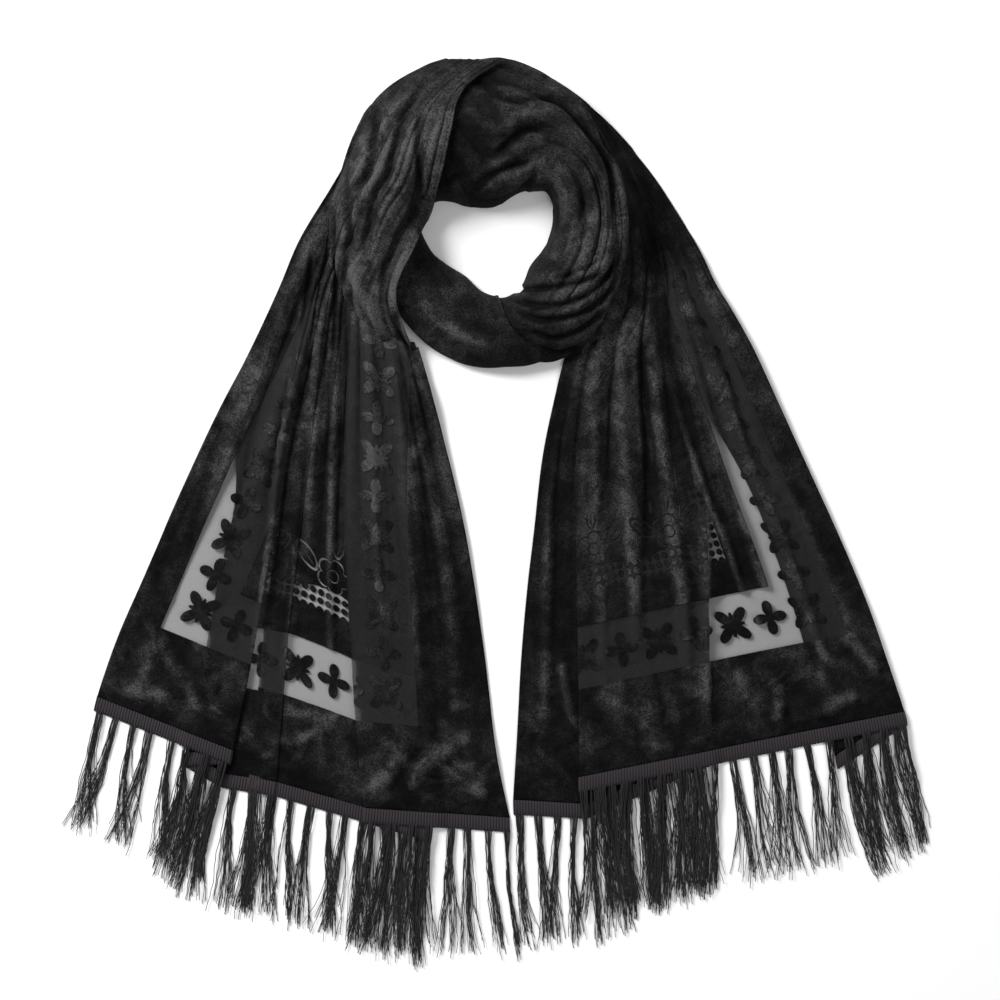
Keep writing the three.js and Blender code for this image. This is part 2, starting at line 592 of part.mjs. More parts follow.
const ENDS = [
  { side: 'left', hem: LEFT_ROWS[0], tips: LEFT_TIPS, chainOf: leftChain },
  { side: 'right', hem: RIGHT_ROWS[0], tips: RIGHT_TIPS, chainOf: rightChain },
];
for (const { side, hem, tips, chainOf } of ENDS) {
  const braidEnd = SEAM + BRAID_DEPTH;
  const reach = Math.hypot(tips.outer[0] - hem.outer[0], tips.outer[1] - hem.outer[1]);
  addPiece(`${side}_braid`, beyondHem(hem, tips, chainOf, BRAID, SEAM, braidEnd, 1), GIMP);
  addPiece(`${side}_fringe`, beyondHem(hem, tips, chainOf, FRINGE, braidEnd + SEAM, reach, 2), YARN);
}

export default stole;
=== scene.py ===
"""Evening stole of patterned velvet, laid flat on a pale floor and wound round its neck opening.

Tables are in millimetres, in the part's own plan: X to the right, Y towards the neck, Z up from the
floor. A low ring-shaped heap (the hidden folds) stands round the neck opening, and each stretch of
cloth is a thin wall laid over it: a place in plan, raised by a lift along the heap's normal.
"""

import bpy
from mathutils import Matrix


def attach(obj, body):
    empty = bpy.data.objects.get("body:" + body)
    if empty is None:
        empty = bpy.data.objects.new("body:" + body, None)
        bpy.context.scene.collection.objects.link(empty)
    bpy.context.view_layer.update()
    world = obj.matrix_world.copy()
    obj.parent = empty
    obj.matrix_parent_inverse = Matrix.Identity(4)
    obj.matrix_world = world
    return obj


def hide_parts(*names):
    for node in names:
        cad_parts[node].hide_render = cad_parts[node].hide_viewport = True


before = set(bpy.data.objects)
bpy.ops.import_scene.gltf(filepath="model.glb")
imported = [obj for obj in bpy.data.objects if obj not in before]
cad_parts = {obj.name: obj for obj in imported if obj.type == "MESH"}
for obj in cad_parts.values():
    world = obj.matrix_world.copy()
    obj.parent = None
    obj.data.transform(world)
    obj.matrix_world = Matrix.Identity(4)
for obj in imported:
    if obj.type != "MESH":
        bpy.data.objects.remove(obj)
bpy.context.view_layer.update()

from types import SimpleNamespace

import bpy
import numpy as np
from bpy.props import FloatProperty, FloatVectorProperty, IntProperty, PointerProperty
from bpy.types import Operator, Panel, PropertyGroup

bl_info = {
    "name": "Evening stole",
    "version": (1, 0, 0),
    "blender": (4, 5, 0),
    "location": "View3D > Sidebar > Stole",
    "description": "Builds a fringed evening stole of patterned velvet, laid flat",
    "category": "Add Mesh",
}

MM = 0.001
CENTRE = (-0.9, 3.4)          # moves the laid-out plan so that its middle is the origin
NECK = (-8, 268)              # middle of the neck opening
HOLE_INSET = 5                # the heap stands this far back from the hole's outline
CREST = 0.4                   # where across the heap its top lies, 0 hole to 1 foot
EDGE_TUCK = 0.985             # how far down the heap's inner side the cloth reaches
CAD_CLOTH = 1.2               # the walls that the lifts are measured to
LIFT = {"core": -1.2, "right": 1.2, "neck": 3.8, "band_start": 2.2, "band_end": 6.4, "left": 9.4}
SEAM = 0.3                    # air between two sewn pieces
ABOVE_FLOOR = 0.05            # nothing of the stole is drawn lower than this
SHOULDER = (2.2, 0.556)       # powers of the heap's rounded inner side
LATTICE = 97                  # random numbers along each side of a noise's square table
LATTICE_START = (40.3, 40.7)  # where the plan's origin falls on that table
STEPS_A_POINT = 4             # straight pieces of a fold's line for each of its points
FOLD_FADE = 0.22              # share of a fold's line over which it fades at either end
TURN_POINTS = 6               # points on the half circle where cloth doubles back
OPENED = 3                    # half the flat cloth that a pleat takes once it has opened out
LEVEL_DROP = (3, 18)          # a panel comes down between these distances past a hidden fold
NECK_SPREAD = 330             # the gathered cloth from hole to rim, laid out in the UV map
NECK_START = 700              # how far up the cut the neck turn starts in the UV map

CUT_WIDTH = 632               # the cloth from side edge to side edge
MARGIN = 88                   # plain velvet between an edge and the sheer border
BORDER = 62                   # width of the sheer border
FRAME = 35                    # plain velvet between the border and the sheer field
LEFT_SHOWN = 36               # margin that shows at the left end's outer edge
RIGHT_SHOWN = 30              # margin that shows at the right end's outer edge
FIELD_END = 258               # the sheer field ends this far from the hem
HALF_FLOWERS = 5              # flowers from the border's corner to the middle of the hem
MIDDLE_SHIFT = -33            # how far the middle panel shows the cloth off its middle


def named(header, rows):
    """A table with named columns: each column becomes an array with one value, or one place, a row."""
    return {name: np.array([row[k] for row in rows], float) for k, name in enumerate(header.split())}


# The heap by angle in degrees from +X: outline of the opening, foot, top, and run-out at the foot.
HEAP = named("turn hole foot height slope", [
    (0, 58, 162, 32, 1.2), (20, 68, 168, 34, 1.2), (42, 75, 170, 36, 1.2), (60, 55, 171, 38, 1.0),
    (76, 36, 178, 40, 0.8), (96, 31, 184, 42, 0.8), (120, 39, 180, 42, 0.9), (142, 65, 166, 40, 1.1),
    (162, 70, 162, 36, 1.2), (186, 58, 158, 32, 1.2), (210, 46, 146, 28, 1.0), (235, 42, 124, 25, 0.6),
    (262, 52, 124, 24, 0.55), (285, 58, 126, 25, 0.6), (306, 56, 138, 27, 0.9), (330, 48, 152, 30, 1.1),
])

# The left end from hem to neck: outer edge, the edges of its three pleats, inner edge, and how deep the
# hidden fold of each pleat goes. The outer panel lies over the middle one, and so does the inner.
LEFT_COLUMNS = "outer first crease second inner deep_first slip_first deep_crease deep_second"
LEFT = named(LEFT_COLUMNS, [
    ((-401, -187), (-266, -240), (-222, -272), (-132, -298), (12, -308), 42, -25, 26, 67),
    ((-380, -127), (-250, -165), (-215, -188), (-140, -225), (-2, -240), 44, -16, 25, 67),
    ((-353, -65), (-235, -86), (-208, -106), (-146, -130), (-14, -140), 45, -6, 23, 67),
    ((-318, 15), (-218, 2), (-196, -6), (-152, -20), (-32, -25), 44, 0, 18, 67),
    ((-283, 90), (-208, 81), (-186, 77), (-152, 70), (-54, 70), 50, 0, 12, 66),
    ((-248, 158), (-191, 158), (-176, 158), (-149, 158), (-79, 161), 44, 0, 6, 60),
    ((-220, 218), (-182, 216), (-168, 215), (-150, 213), (-98, 215), 26, 0, 0, 38),
    ((-198, 270), (-172, 262), (-160, 259), (-147, 255), (-89, 255), 8, 0, 0, 8),
    ((-168, 320), (-152, 309), (-142, 305), (-131, 300), (-79, 297), 0, 0, 0, 0),
    ((-146, 357), (-132, 347), (-122, 342), (-111, 336), (-58, 329), 0, 0, 0, 0),
    ((-128, 388), (-114, 377), (-104, 372), (-93, 368), (-46, 370), 0, 0, 0, 0),
    ((-103, 416), (-91, 405), (-81, 400), (-71, 396), (-38, 402), 0, 0, 0, 0),
    ((-72, 434), (-61, 427), (-53, 423), (-45, 420), (-22, 422), 0, 0, 0, 0),
    ((-50, 442), (-38, 441), (-28, 441), (-18, 441), (6, 440), 0, 0, 0, 0),
])
LEFT_TIPS = named(LEFT_COLUMNS, [
    ((-434, -318), (-292, -374), (-240, -408), (-146, -438), (14, -448), 48, -26, 28, 70),
])

# The right end from hem to neck: inner edge, the pleat's edge, outer edge, the pleat's depth, how far
# the lower panel's hem slips at the pleat's edge and at its tuck, how much of the outer edge is turned
# under, how far that slips, and how much cut cloth the gathers take into each millimetre.
RIGHT_COLUMNS = "inner pleat outer depth slip tuck under under_slip ease"
RIGHT = named(RIGHT_COLUMNS, [
    ((15, -290), (82, -267), (405, -202), 130, -28, -4, 76, -28, 1.0),
    ((19, -225), (82, -208), (388, -152), 130, -18, -3, 74, -18, 1.0),
    ((23, -150), (81, -140), (367, -92), 130, -9, -2, 70, -8, 1.04),
    ((29, -80), (80, -70), (341, -30), 130, 0, 0, 66, 0, 1.1),
    ((36, -20), (79, -10), (310, 38), 128, 0, 0, 62, 0, 1.18),
    ((44, 50), (80, 55), (279, 106), 112, 0, 0, 68, 0, 1.3),
    ((55, 105), (90, 108), (254, 160), 84, 0, 0, 74, 0, 1.45),
    ((68, 156), (122, 156), (233, 198), 40, 0, 0, 70, 0, 1.6),
    ((88, 196), (146, 198), (216, 226), 10, 0, 0, 52, 0, 1.8),
    ((101, 232), (150, 232), (204, 252), 0, 0, 0, 26, 0, 2.0),
    ((106, 264), (148, 266), (191, 276), 0, 0, 0, 6, 0, 2.0),
    ((105, 296), (140, 298), (174, 304), 0, 0, 0, 4, 0, 2.0),
    ((97, 326), (126, 332), (154, 334), 0, 0, 0, 4, 0, 2.0),
    ((85, 350), (108, 358), (131, 362), 0, 0, 0, 4, 0, 2.0),
    ((67, 374), (84, 384), (104, 390), 0, 0, 0, 4, 0, 2.0),
    ((46, 396), (60, 408), (74, 416), 0, 0, 0, 4, 0, 2.0),
    ((24, 410), (32, 424), (44, 434), 0, 0, 0, 4, 0, 2.0),
    ((2, 416), (6, 432), (12, 446), 0, 0, 0, 4, 0, 2.0),
])
RIGHT_TIPS = named(RIGHT_COLUMNS, [
    ((21, -436), (84, -412), (434, -336), 134, -26, -4, 80, -26, 1.0),
])

# The gathered turn round the back of the neck, and the smooth band across the throat: each row is a
# line from the hole (at angle hole) out to the rim (at angle rim and radius reach).
NECK_ROWS = named("hole rim reach", [
    (-97, -72, 122), (-87, -64, 130), (-72, -56, 133), (-58, -46, 133), (-40, -31, 132), (-16, -16, 131),
    (3, -1, 132), (17, 14, 135), (30, 29, 140), (43, 43, 143), (54, 57, 158), (64, 69, 164),
    (75, 78, 171), (90, 86, 178), (108, 92, 178), (124, 97, 172), (138, 104, 160), (150, 112, 146),
])
BAND_ROWS = named("hole rim reach", [
    (156, 206, 112), (168, 226, 116), (180, 240, 119), (194, 250, 121), (212, 258, 122),
    (235, 268, 122), (256, 278, 121), (268, 288, 124), (276, 297, 126),
])

# Folds listed one by one: how high the fold stands (or how deep it sinks), how far it spreads to the left
# and to the right of its line, walking along it, and the line in plan.
LEFT_FOLDS = [
    (3.0, 7, 9, ((-248, 180), (-280, 100), (-312, 35), (-345, -40))),
    (7.0, 9, 5, ((-196, 215), (-197, 165), (-207, 118), (-219, 42), (-227, -25), (-236, -92), (-244, -150))),
    (3.0, 12, 4, ((-203, -20), (-203, -60), (-209, -119), (-212, -146), (-217, -180))),
    (5.0, 9, 9, ((-178, 215), (-180, 150), (-184, 60), (-188, 0), (-190, -60))),
    (4.5, 7, 6, ((-163, 215), (-163, 130), (-166, 20), (-168, -90), (-166, -180))),
    (3.0, 8, 8, ((-128, 190), (-126, 90), (-122, -20), (-116, -120))),
    (4.0, 9, 6, ((-104, 175), (-98, 90), (-92, 0), (-84, -90), (-78, -190))),
    (3.0, 5, 7, ((-92, 40), (-80, 62), (-68, 77))),
    (5.0, 7, 6, ((-140, 250), (-130, 220), (-109, 181), (-88, 149), (-68, 112), (-56, 60))),
    (3.0, 12, 12, ((-60, 20), (-52, -60), (-44, -150), (-40, -220))),
    (2.2, 10, 14, ((-356, -120), (-330, -140), (-310, -180))),
    (2.0, 8, 10, ((-330, -80), (-300, -130), (-290, -190))),
    (2.4, 10, 8, ((-200, -190), (-180, -220), (-176, -262))),
    (2.4, 12, 8, ((-104, -215), (-80, -236), (-50, -240))),
    (2.0, 8, 8, ((-60, -200), (-40, -250), (-10, -270))),
    (-6.0, 6, 6, ((-116, 404), (-114, 383), (-117, 360), (-123, 329), (-142, 312))),
    (-6.5, 7, 5, ((-68, 425), (-79, 404), (-91, 381), (-105, 334), (-118, 311), (-126, 269), (-128, 250))),
    (-6.5, 6, 6, ((-70, 404), (-76, 367), (-78, 329), (-91, 297), (-103, 259), (-110, 236), (-106, 213))),
    (-5.0, 5, 6, ((-145, 334), (-140, 297), (-142, 255), (-151, 225))),
    (-5.0, 5, 5, ((-158, 300), (-160, 250), (-163, 203), (-164, 130))),
    (-4.0, 5, 5, ((-186, 262), (-190, 215), (-200, 160))),
    (-5.0, 7, 7, ((-98, 205), (-95, 190), (-90, 172), (-80, 150))),
    (5.0, 10, 10, ((-352, -128), (-346, -145), (-356, -178))),
    (6.0, 6, 9, ((-331, -143), (-312, -172), (-296, -202))),
    (4.0, 8, 8, ((-378, -184), (-350, -182), (-326, -190))),
    (4.5, 8, 8, ((-277, -161), (-286, -184), (-272, -207))),
    (6.0, 9, 7, ((-259, -220), (-227, -252), (-195, -266))),
    (5.5, 7, 10, ((-236, -234), (-191, -225), (-159, -207))),
    (5.0, 6, 8, ((-218, -198), (-182, -207), (-155, -202))),
    (6.5, 13, 8, ((-127, -284), (-105, -261), (-82, -225))),
    (6.5, 13, 8, ((-91, -279), (-64, -252), (-23, -220))),
    (4.5, 8, 10, ((-73, -252), (-28, -275), (-10, -288))),
]
RIGHT_FOLDS = [
    (4.0, 4, 14, ((210, 20), (210, -60), (210, -150), (210, -235))),
    (6.0, 8, 3, ((168, 139), (200, 33), (228, -37), (249, -94), (278, -143))),
    (6.5, 12, 9, ((122, 200), (124, 110), (130, 20), (136, -80), (140, -160))),
    (6.5, 9, 12, ((154, 205), (160, 110), (172, 10), (186, -90), (192, -180))),
    (5.5, 9, 9, ((180, 200), (206, 110), (238, 20), (262, -60), (284, -120))),
    (4.6, 9, 12, ((202, 190), (234, 100), (272, 0), (306, -90), (330, -160))),
    (3.0, 9, 9, ((98, 150), (98, 60), (100, -30), (104, -120), (106, -200))),
    (3.0, 8, 8, ((52, 30), (50, -60), (48, -160), (46, -230))),
    (2.6, 9, 9, ((236, 130), (262, 70), (300, 0), (340, -90), (366, -160))),
    (2.0, 12, 8, ((240, -150), (250, -190), (290, -200))),
    (2.0, 10, 8, ((120, -190), (150, -220), (160, -240))),
    (1.8, 8, 8, ((320, -140), (330, -180), (360, -190))),
    (-4.0, 6, 6, ((88, 406), (106, 374), (128, 330), (150, 280), (168, 215))),
    (-3.6, 5, 6, ((120, 372), (142, 330), (166, 280), (190, 225))),
    (-5.0, 9, 9, ((142, 190), (148, 100), (151, 20), (152, -50))),
    (5.0, 10, 9, ((262, -160), (282, -185), (277, -215))),
    (4.5, 9, 9, ((342, -120), (362, -140), (382, -170))),
    (4.0, 10, 10, ((112, -190), (140, -200), (167, -205))),
    (4.5, 8, 10, ((312, -205), (336, -196), (362, -180))),
    (4.5, 8, 8, ((62, -150), (68, -180), (77, -220))),
]
NECK_GROOVES = [
    (-6.0, 7, 5, ((-28, 423), (-10, 416), (7, 404), (34, 398))),
    (-8.0, 7, 7, ((-42, 383), (-24, 366), (-5, 350), (12, 362), (30, 374), (65, 371))),
    (-8.0, 7, 6, ((-49, 353), (-36, 338), (-23, 320), (-5, 334), (20, 344), (42, 348))),
    (-7.0, 6, 6, ((-56, 325), (-37, 329), (-19, 308), (19, 320), (42, 346))),
    (4.0, 9, 9, ((-46, 368), (-28, 350), (-12, 336), (10, 350), (34, 360), (60, 356))),
    (4.0, 9, 9, ((-36, 398), (-16, 386), (0, 374), (22, 384), (50, 388))),
    (3.5, 7, 7, ((-52, 338), (-36, 318), (-14, 322), (8, 332), (30, 336))),
    (-7.0, 6, 7, ((12, 402), (54, 402), (84, 374), (105, 343), (110, 297), (108, 262))),
    (-5.0, 5, 5, ((50, 352), (72, 340), (86, 312), (84, 282))),
    (-6.0, 5, 6, ((0, 209), (19, 215), (56, 220), (89, 229), (103, 243))),
    (-6.0, 6, 5, ((5, 207), (42, 201), (79, 210), (107, 236), (119, 262))),
    (-6.0, 6, 5, ((14, 199), (42, 188), (77, 196), (105, 215), (121, 250))),
    (-5.0, 5, 5, ((30, 180), (54, 173), (84, 185), (110, 208))),
    (-4.0, 4, 5, ((40, 166), (58, 161), (80, 168))),
    (-4.0, 4, 5, ((56, 227), (80, 236), (102, 250))),
]
BAND_FOLDS = [
    (1.6, 10, 8, ((-80, 215), (-60, 190), (-30, 172), (10, 164))),
    (1.2, 8, 10, ((-66, 205), (-40, 196), (0, 186), (30, 176))),
    (1.8, 3, 4, ((-8, 214), (18, 188), (48, 158))),
]


# Gathers down an end: height at the hem, what it grows by towards the neck, pitch, length, seed step.
END_GATHERS = ((1.0, 4.6, 24, 300, 0), (0.3, 1.5, 10, 200, 3))
GATHER_SPREAD = 330           # how wide the gathers take an end to be, edge to edge, at every height
HEM_SWOOP = 2.5               # height of the slanting folds beside the hem
# Gathers round the neck: height, pitch, length, seed.
NECK_GATHERS = ((7.5, 21, 420, 22), (4.2, 9, 240, 24))
NECK_LENGTH = 520             # how long the gathers take the neck turn to be
NECK_WIDTH = 210              # how wide they take it to be
TOP_OF_BEND = 0.36            # share of the way from hole to rim at which the cloth is on the crest


# ---- curves, noise and folds -----------------------------------------------------------------
def smooth(v, low, high):
    """Smoothstep: 0 up to low, 1 from high, 3t^2 - 2t^3 between."""
    t = np.clip((v - low) / (high - low), 0, 1)
    return t * t * (3 - 2 * t)


def mix(a, b, t):
    """Straight blend from a to b."""
    return a + (b - a) * t


def catmull(a, b, c, d, t):
    """Catmull-Rom value between b and c, at t from 0 to 1."""
    return b + 0.5 * t * (c - a + t * (2 * a - 5 * b + 4 * c - d + t * (3 * (b - c) + d - a)))


def spline(values, s):
    """The Catmull-Rom curve through a column of a table, at positions s counted in rows."""
    last = len(values) - 1
    i = np.clip(np.floor(s).astype(int), 0, last - 1)
    t = (s - i).reshape((-1,) + (1,) * (values.ndim - 1))
    return catmull(*(values[np.clip(i + k, 0, last)] for k in (-1, 0, 1, 2)), t)


def refine(table, count):
    """A table blended to a given number of rows."""
    s = np.linspace(0, len(next(iter(table.values()))) - 1, count)
    return {name: spline(values, s) for name, values in table.items()}


def soft_noise(x, y, size, seed):
    """Value noise from -1 to 1: random numbers on a square lattice, blended by smoothstep."""
    table = np.random.default_rng(seed).uniform(-1, 1, (LATTICE, LATTICE))
    gx, gy = x / size + LATTICE_START[0], y / size + LATTICE_START[1]
    i, j = np.floor(gx).astype(int), np.floor(gy).astype(int)
    u, v = smooth(gx - i, 0, 1), smooth(gy - j, 0, 1)
    value = lambda a, b: table[(i + a) % LATTICE, (j + b) % LATTICE]
    return mix(mix(value(0, 0), value(1, 0), u), mix(value(0, 1), value(1, 1), u), v)


def from_line(x, y, points):
    """Distance from a line of straight pieces, which side of it, and the share of the way along."""
    line = spline(np.array(points, float), np.linspace(0, len(points) - 1, STEPS_A_POINT * len(points)))
    nearest = np.full(x.shape, np.inf)
    side, share = np.zeros(x.shape), np.zeros(x.shape)
    for k, ((px, py), (qx, qy)) in enumerate(zip(line[:-1], line[1:])):
        dx, dy = qx - px, qy - py
        t = np.clip(((x - px) * dx + (y - py) * dy) / (dx * dx + dy * dy), 0, 1)
        ox, oy = x - px - t * dx, y - py - t * dy
        distance = np.hypot(ox, oy)
        closer = distance < nearest
        nearest = np.where(closer, distance, nearest)
        side = np.where(closer, dx * oy - dy * ox, side)
        share = np.where(closer, (k + t) / (len(line) - 1), share)
    return nearest, side, share


def hand_folds(x, y, folds):
    """Height of the listed folds: half a cosine either side of each line, fading at its ends."""
    height = np.zeros(x.shape)
    for rise, left, right, points in folds:
        distance, side, share = from_line(x, y, points)
        reach = np.where(side > 0, left, right)
        across = 0.5 + 0.5 * np.cos(np.pi * np.clip(distance / reach, 0, 1))
        height += rise * across * smooth(share, 0, FOLD_FADE) * smooth(1 - share, 0, FOLD_FADE)
    return height


def gathers(across, along, pitch, length, seed):
    """Gathers from 0 to 1, round on top with sharp valleys: the size of a noise drawn out along the
    cloth, to the power 0.7."""
    drift = 0.5 * pitch * soft_noise(across, along, length * 0.8, seed + 1)
    stretched = soft_noise(across + drift, along * pitch / length, pitch, seed)
    return np.abs(stretched) ** 0.7


# ---- the heap that everything lies over --------------------------------------------------------
def heap_at(turn):
    """The heap's inner and outer radius, crest, height and slope at angles in degrees."""
    turn = np.mod(turn, 360)
    count = len(HEAP["turn"])
    i = np.searchsorted(HEAP["turn"], turn, side="right") - 1
    span = np.mod(HEAP["turn"][(i + 1) % count] - HEAP["turn"][i], 360)
    t = (turn - HEAP["turn"][i]) / span
    value = lambda name: catmull(*(HEAP[name][(i + k) % count] for k in (-1, 0, 1, 2)), t)
    inner, foot = value("hole") + HOLE_INSET, value("foot")
    return inner, foot, mix(inner, foot, CREST), value("height"), value("slope")


def polar(x, y):
    """Radius and angle in degrees round the middle of the neck opening."""
    return np.hypot(x - NECK[0], y - NECK[1]), np.degrees(np.arctan2(y - NECK[1], x - NECK[0]))


def heap_height(x, y):
    """Height of the heap: a superellipse inside the crest, a soft run-out beyond it."""
    r, turn = polar(x, y)
    inner, foot, crest, height, slope = heap_at(turn)
    t = np.clip((crest - r) / (crest - inner), 0, 1)
    u = np.clip((r - crest) / (foot - crest), 0, 1)
    rising = height * (1 - t ** SHOULDER[0]) ** SHOULDER[1]
    falling = height * (1 - u * u) ** slope
    return np.where((r <= inner) | (r >= foot), 0, np.where(r < crest, rising, falling))


def drape(x, y, lift):
    """A point over the heap: its place in plan, raised by lift along the heap's normal, which comes
    from the heap's height half a millimetre to either side."""
    d = 0.5
    slope_x = (heap_height(x + d, y) - heap_height(x - d, y)) / (2 * d)
    slope_y = (heap_height(x, y + d) - heap_height(x, y - d)) / (2 * d)
    size = np.sqrt(slope_x ** 2 + slope_y ** 2 + 1)
    return np.stack([x - slope_x * lift / size, y - slope_y * lift / size,
                     heap_height(x, y) + lift / size], axis=-1)


def past_crest(x, y):
    """How far a place is beyond the crest: 0 at the crest, 1 at the foot."""
    r, turn = polar(x, y)
    _, foot, crest, _, _ = heap_at(turn)
    return (r - crest) / (foot - crest)


# ---- meshes ------------------------------------------------------------------------------------
def make_piece(name, points, faces, material, uv=None, crest=None):
    """A smooth mesh object of points in millimetres. Its first UV map holds the cloth's own coordinates,
    and its second one how far up a fold each point lies, which paints highlight on crests and shade in
    valleys."""
    mesh = bpy.data.meshes.new(name)
    centred = (points + np.array([*CENTRE, 0.0])) * MM
    mesh.from_pydata(centred.reshape(-1, 3), [], faces.tolist())
    mesh.polygons.foreach_set("use_smooth", np.ones(len(mesh.polygons), dtype=bool))
    if uv is not None:
        corners = np.empty(len(mesh.loops), dtype=np.int32)
        mesh.loops.foreach_get("vertex_index", corners)
        layer = mesh.uv_layers.new(name="cloth")
        layer.data.foreach_set("uv", (uv.reshape(-1, 2)[corners] * MM).ravel())
        # the second UV map drives the painted highlight on fold crests and painted shade in their valleys
        if crest is not None:
            second = mesh.uv_layers.new(name="crest")
            flat = crest.reshape(-1)[corners]
            second.data.foreach_set("uv", np.stack([flat, 0 * flat], axis=-1).ravel())
    mesh.materials.append(material)
    mesh.update()
    piece = bpy.data.objects.new(name, mesh)
    bpy.context.collection.objects.link(piece)
    return piece


def wall_faces(rows, columns):
    """Quads of a closed wall: the upper grid, the lower grid turned over, and its four edges."""
    i, j = np.meshgrid(np.arange(rows - 1), np.arange(columns - 1), indexing="ij")
    at = lambda side, a, b: side * rows * columns + a * columns + b
    stack = lambda *corners: np.stack([np.ravel(c) for c in corners], axis=1)
    r, c, zero = np.arange(rows - 1), np.arange(columns - 1), 0
    end, last = columns - 1, rows - 1
    return np.concatenate([
        stack(at(0, i, j), at(0, i, j + 1), at(0, i + 1, j + 1), at(0, i + 1, j)),
        stack(at(1, i, j), at(1, i + 1, j), at(1, i + 1, j + 1), at(1, i, j + 1)),
        stack(at(0, r, zero), at(0, r + 1, zero), at(1, r + 1, zero), at(1, r, zero)),
        stack(at(0, r, end), at(1, r, end), at(1, r + 1, end), at(0, r + 1, end)),
        stack(at(0, zero, c), at(1, zero, c), at(1, zero, c + 1), at(0, zero, c + 1)),
        stack(at(0, last, c), at(0, last, c + 1), at(1, last, c + 1), at(1, last, c)),
    ])


def cloth_wall(name, middle, uv, thickness, material, crest=None):
    """A closed wall: each middle point moved half the thickness both ways along the surface normal,
    which is the cross product of the steps across and along the grid."""
    normal = np.cross(np.gradient(middle, axis=1), np.gradient(middle, axis=0))
    normal /= np.linalg.norm(normal, axis=2, keepdims=True) + 1e-12
    half = np.asarray(thickness)[..., None] / 2 if np.ndim(thickness) else thickness / 2
    points = np.stack([middle + normal * half, middle - normal * half])
    points[..., 2] = np.maximum(points[..., 2], ABOVE_FLOOR)
    # crest: how far up a fold, which paints highlight on crests and shade in valleys
    both = None if crest is None else np.stack([crest, crest])
    return make_piece(name, points, wall_faces(*middle.shape[:2]), material, np.stack([uv, uv]), both)


# ---- pleated ends --------------------------------------------------------------------------------
def half_turn():
    """Angles of the points on the half circle where cloth doubles back, its two ends left out."""
    return np.pi * np.arange(1, TURN_POINTS + 1) / (TURN_POINTS + 1)


class Section:
    """Sections of folded cloth, one a row, drawn from one edge of the cloth to the other. Each point
    has a place in plan, a level over the lowest layer, and u, its place across the cut cloth."""

    def __init__(self, first, last):
        along = last - first
        self.across = along / np.linalg.norm(along, axis=1, keepdims=True)
        self.upward = np.stack([-self.across[:, 1], self.across[:, 0]], axis=1)
        self.plan, self.level, self.u = [], [], []

    def moved(self, point, push, slip=0.0):
        """A place pushed across the section and slipped towards the neck."""
        slip = np.broadcast_to(slip, np.shape(push))
        return point + self.across * push[:, None] + self.upward * slip[:, None]

    def run(self, start, stop, count, u_start, u_stop, level):
        """Cloth in a straight line; level is worked out from the distances to both ends."""
        t = np.linspace(0, 1, count)[None, :]
        length = np.linalg.norm(stop - start, axis=1)[:, None]
        self.plan.append(mix(start[:, None], stop[:, None], t[..., None]))
        self.level.append(level(length * t, length * (1 - t)) + np.zeros((len(start), count)))
        self.u.append(mix(u_start[:, None], u_stop[:, None], t))

    def pleat(self, edge, depth, step, doubled, over, slips, u_start, u_stop, count=14):
        """The hidden part of a pleat: half a circle, cloth running back, half a circle. `over` goes
        down under its own edge towards the start; otherwise it comes up from under the edge. Where
        doubled is 0 the pleat has opened out into flat cloth."""
        angle = half_turn()
        bulge = 0.5 * step * np.sin(angle)
        half = 0.5 * (1 - np.cos(angle))
        back = np.linspace(0, 1, count)
        depth = depth[:, None]
        flat = lambda values: np.broadcast_to(values, (len(depth), len(values)))
        if over:
            place = np.concatenate([flat(bulge), -depth * back, -depth - bulge], axis=1)
            level = np.concatenate([2 - half, 1 + 0 * back, 1 - half])
            share = np.concatenate([0 * angle, back, 1 + 0 * angle])
        else:
            place = np.concatenate([depth + bulge, depth * (1 - back), flat(-bulge)], axis=1)
            level = np.concatenate([half, 1 + 0 * back, 1 + half])
            share = np.concatenate([1 + 0 * angle, 1 - back, 0 * angle])
        total = len(level)
        open_place = np.linspace(-OPENED, OPENED, total + 2)[None, 1:-1]
        place = mix(open_place, place, doubled[:, None])
        slip = mix(slips[0][:, None], slips[1][:, None], share[None, :]) * doubled[:, None]
        self.plan.append(edge[:, None] + self.across[:, None] * place[..., None]
                         + self.upward[:, None] * slip[..., None])
        self.level.append(level[None, :] * step * doubled[:, None])
        t = np.linspace(0, 1, total)[None, :]
        self.u.append(mix(u_start[:, None], u_stop[:, None], t))

    def under(self, edge, depth, step, doubled, slip, count, u_start):
        """The cloth's edge turned under: half a circle down, then flat cloth running back."""
        angle = half_turn()
        zero = np.zeros((len(depth), 1))
        bulge = 0.5 * step * np.sin(angle) + zero
        back = np.linspace(0, 1, count)[None, 1:]
        place = np.concatenate([bulge, -depth[:, None] * back], axis=1)
        level = np.concatenate([0.5 * (1 + np.cos(angle)) + zero, 0 * back + zero], axis=1) * step
        share = np.concatenate([0 * angle, back[0]])
        self.plan.append(edge[:, None] + self.across[:, None] * place[..., None]
                         + self.upward[:, None] * (slip[:, None] * share[None, :])[..., None])
        self.level.append(level * doubled[:, None])
        self.u.append(u_start[:, None] + depth[:, None] * share[None, :])

    def grids(self):
        """All the pieces of the section side by side."""
        return (np.concatenate(part, axis=1) for part in (self.plan, self.level, self.u))


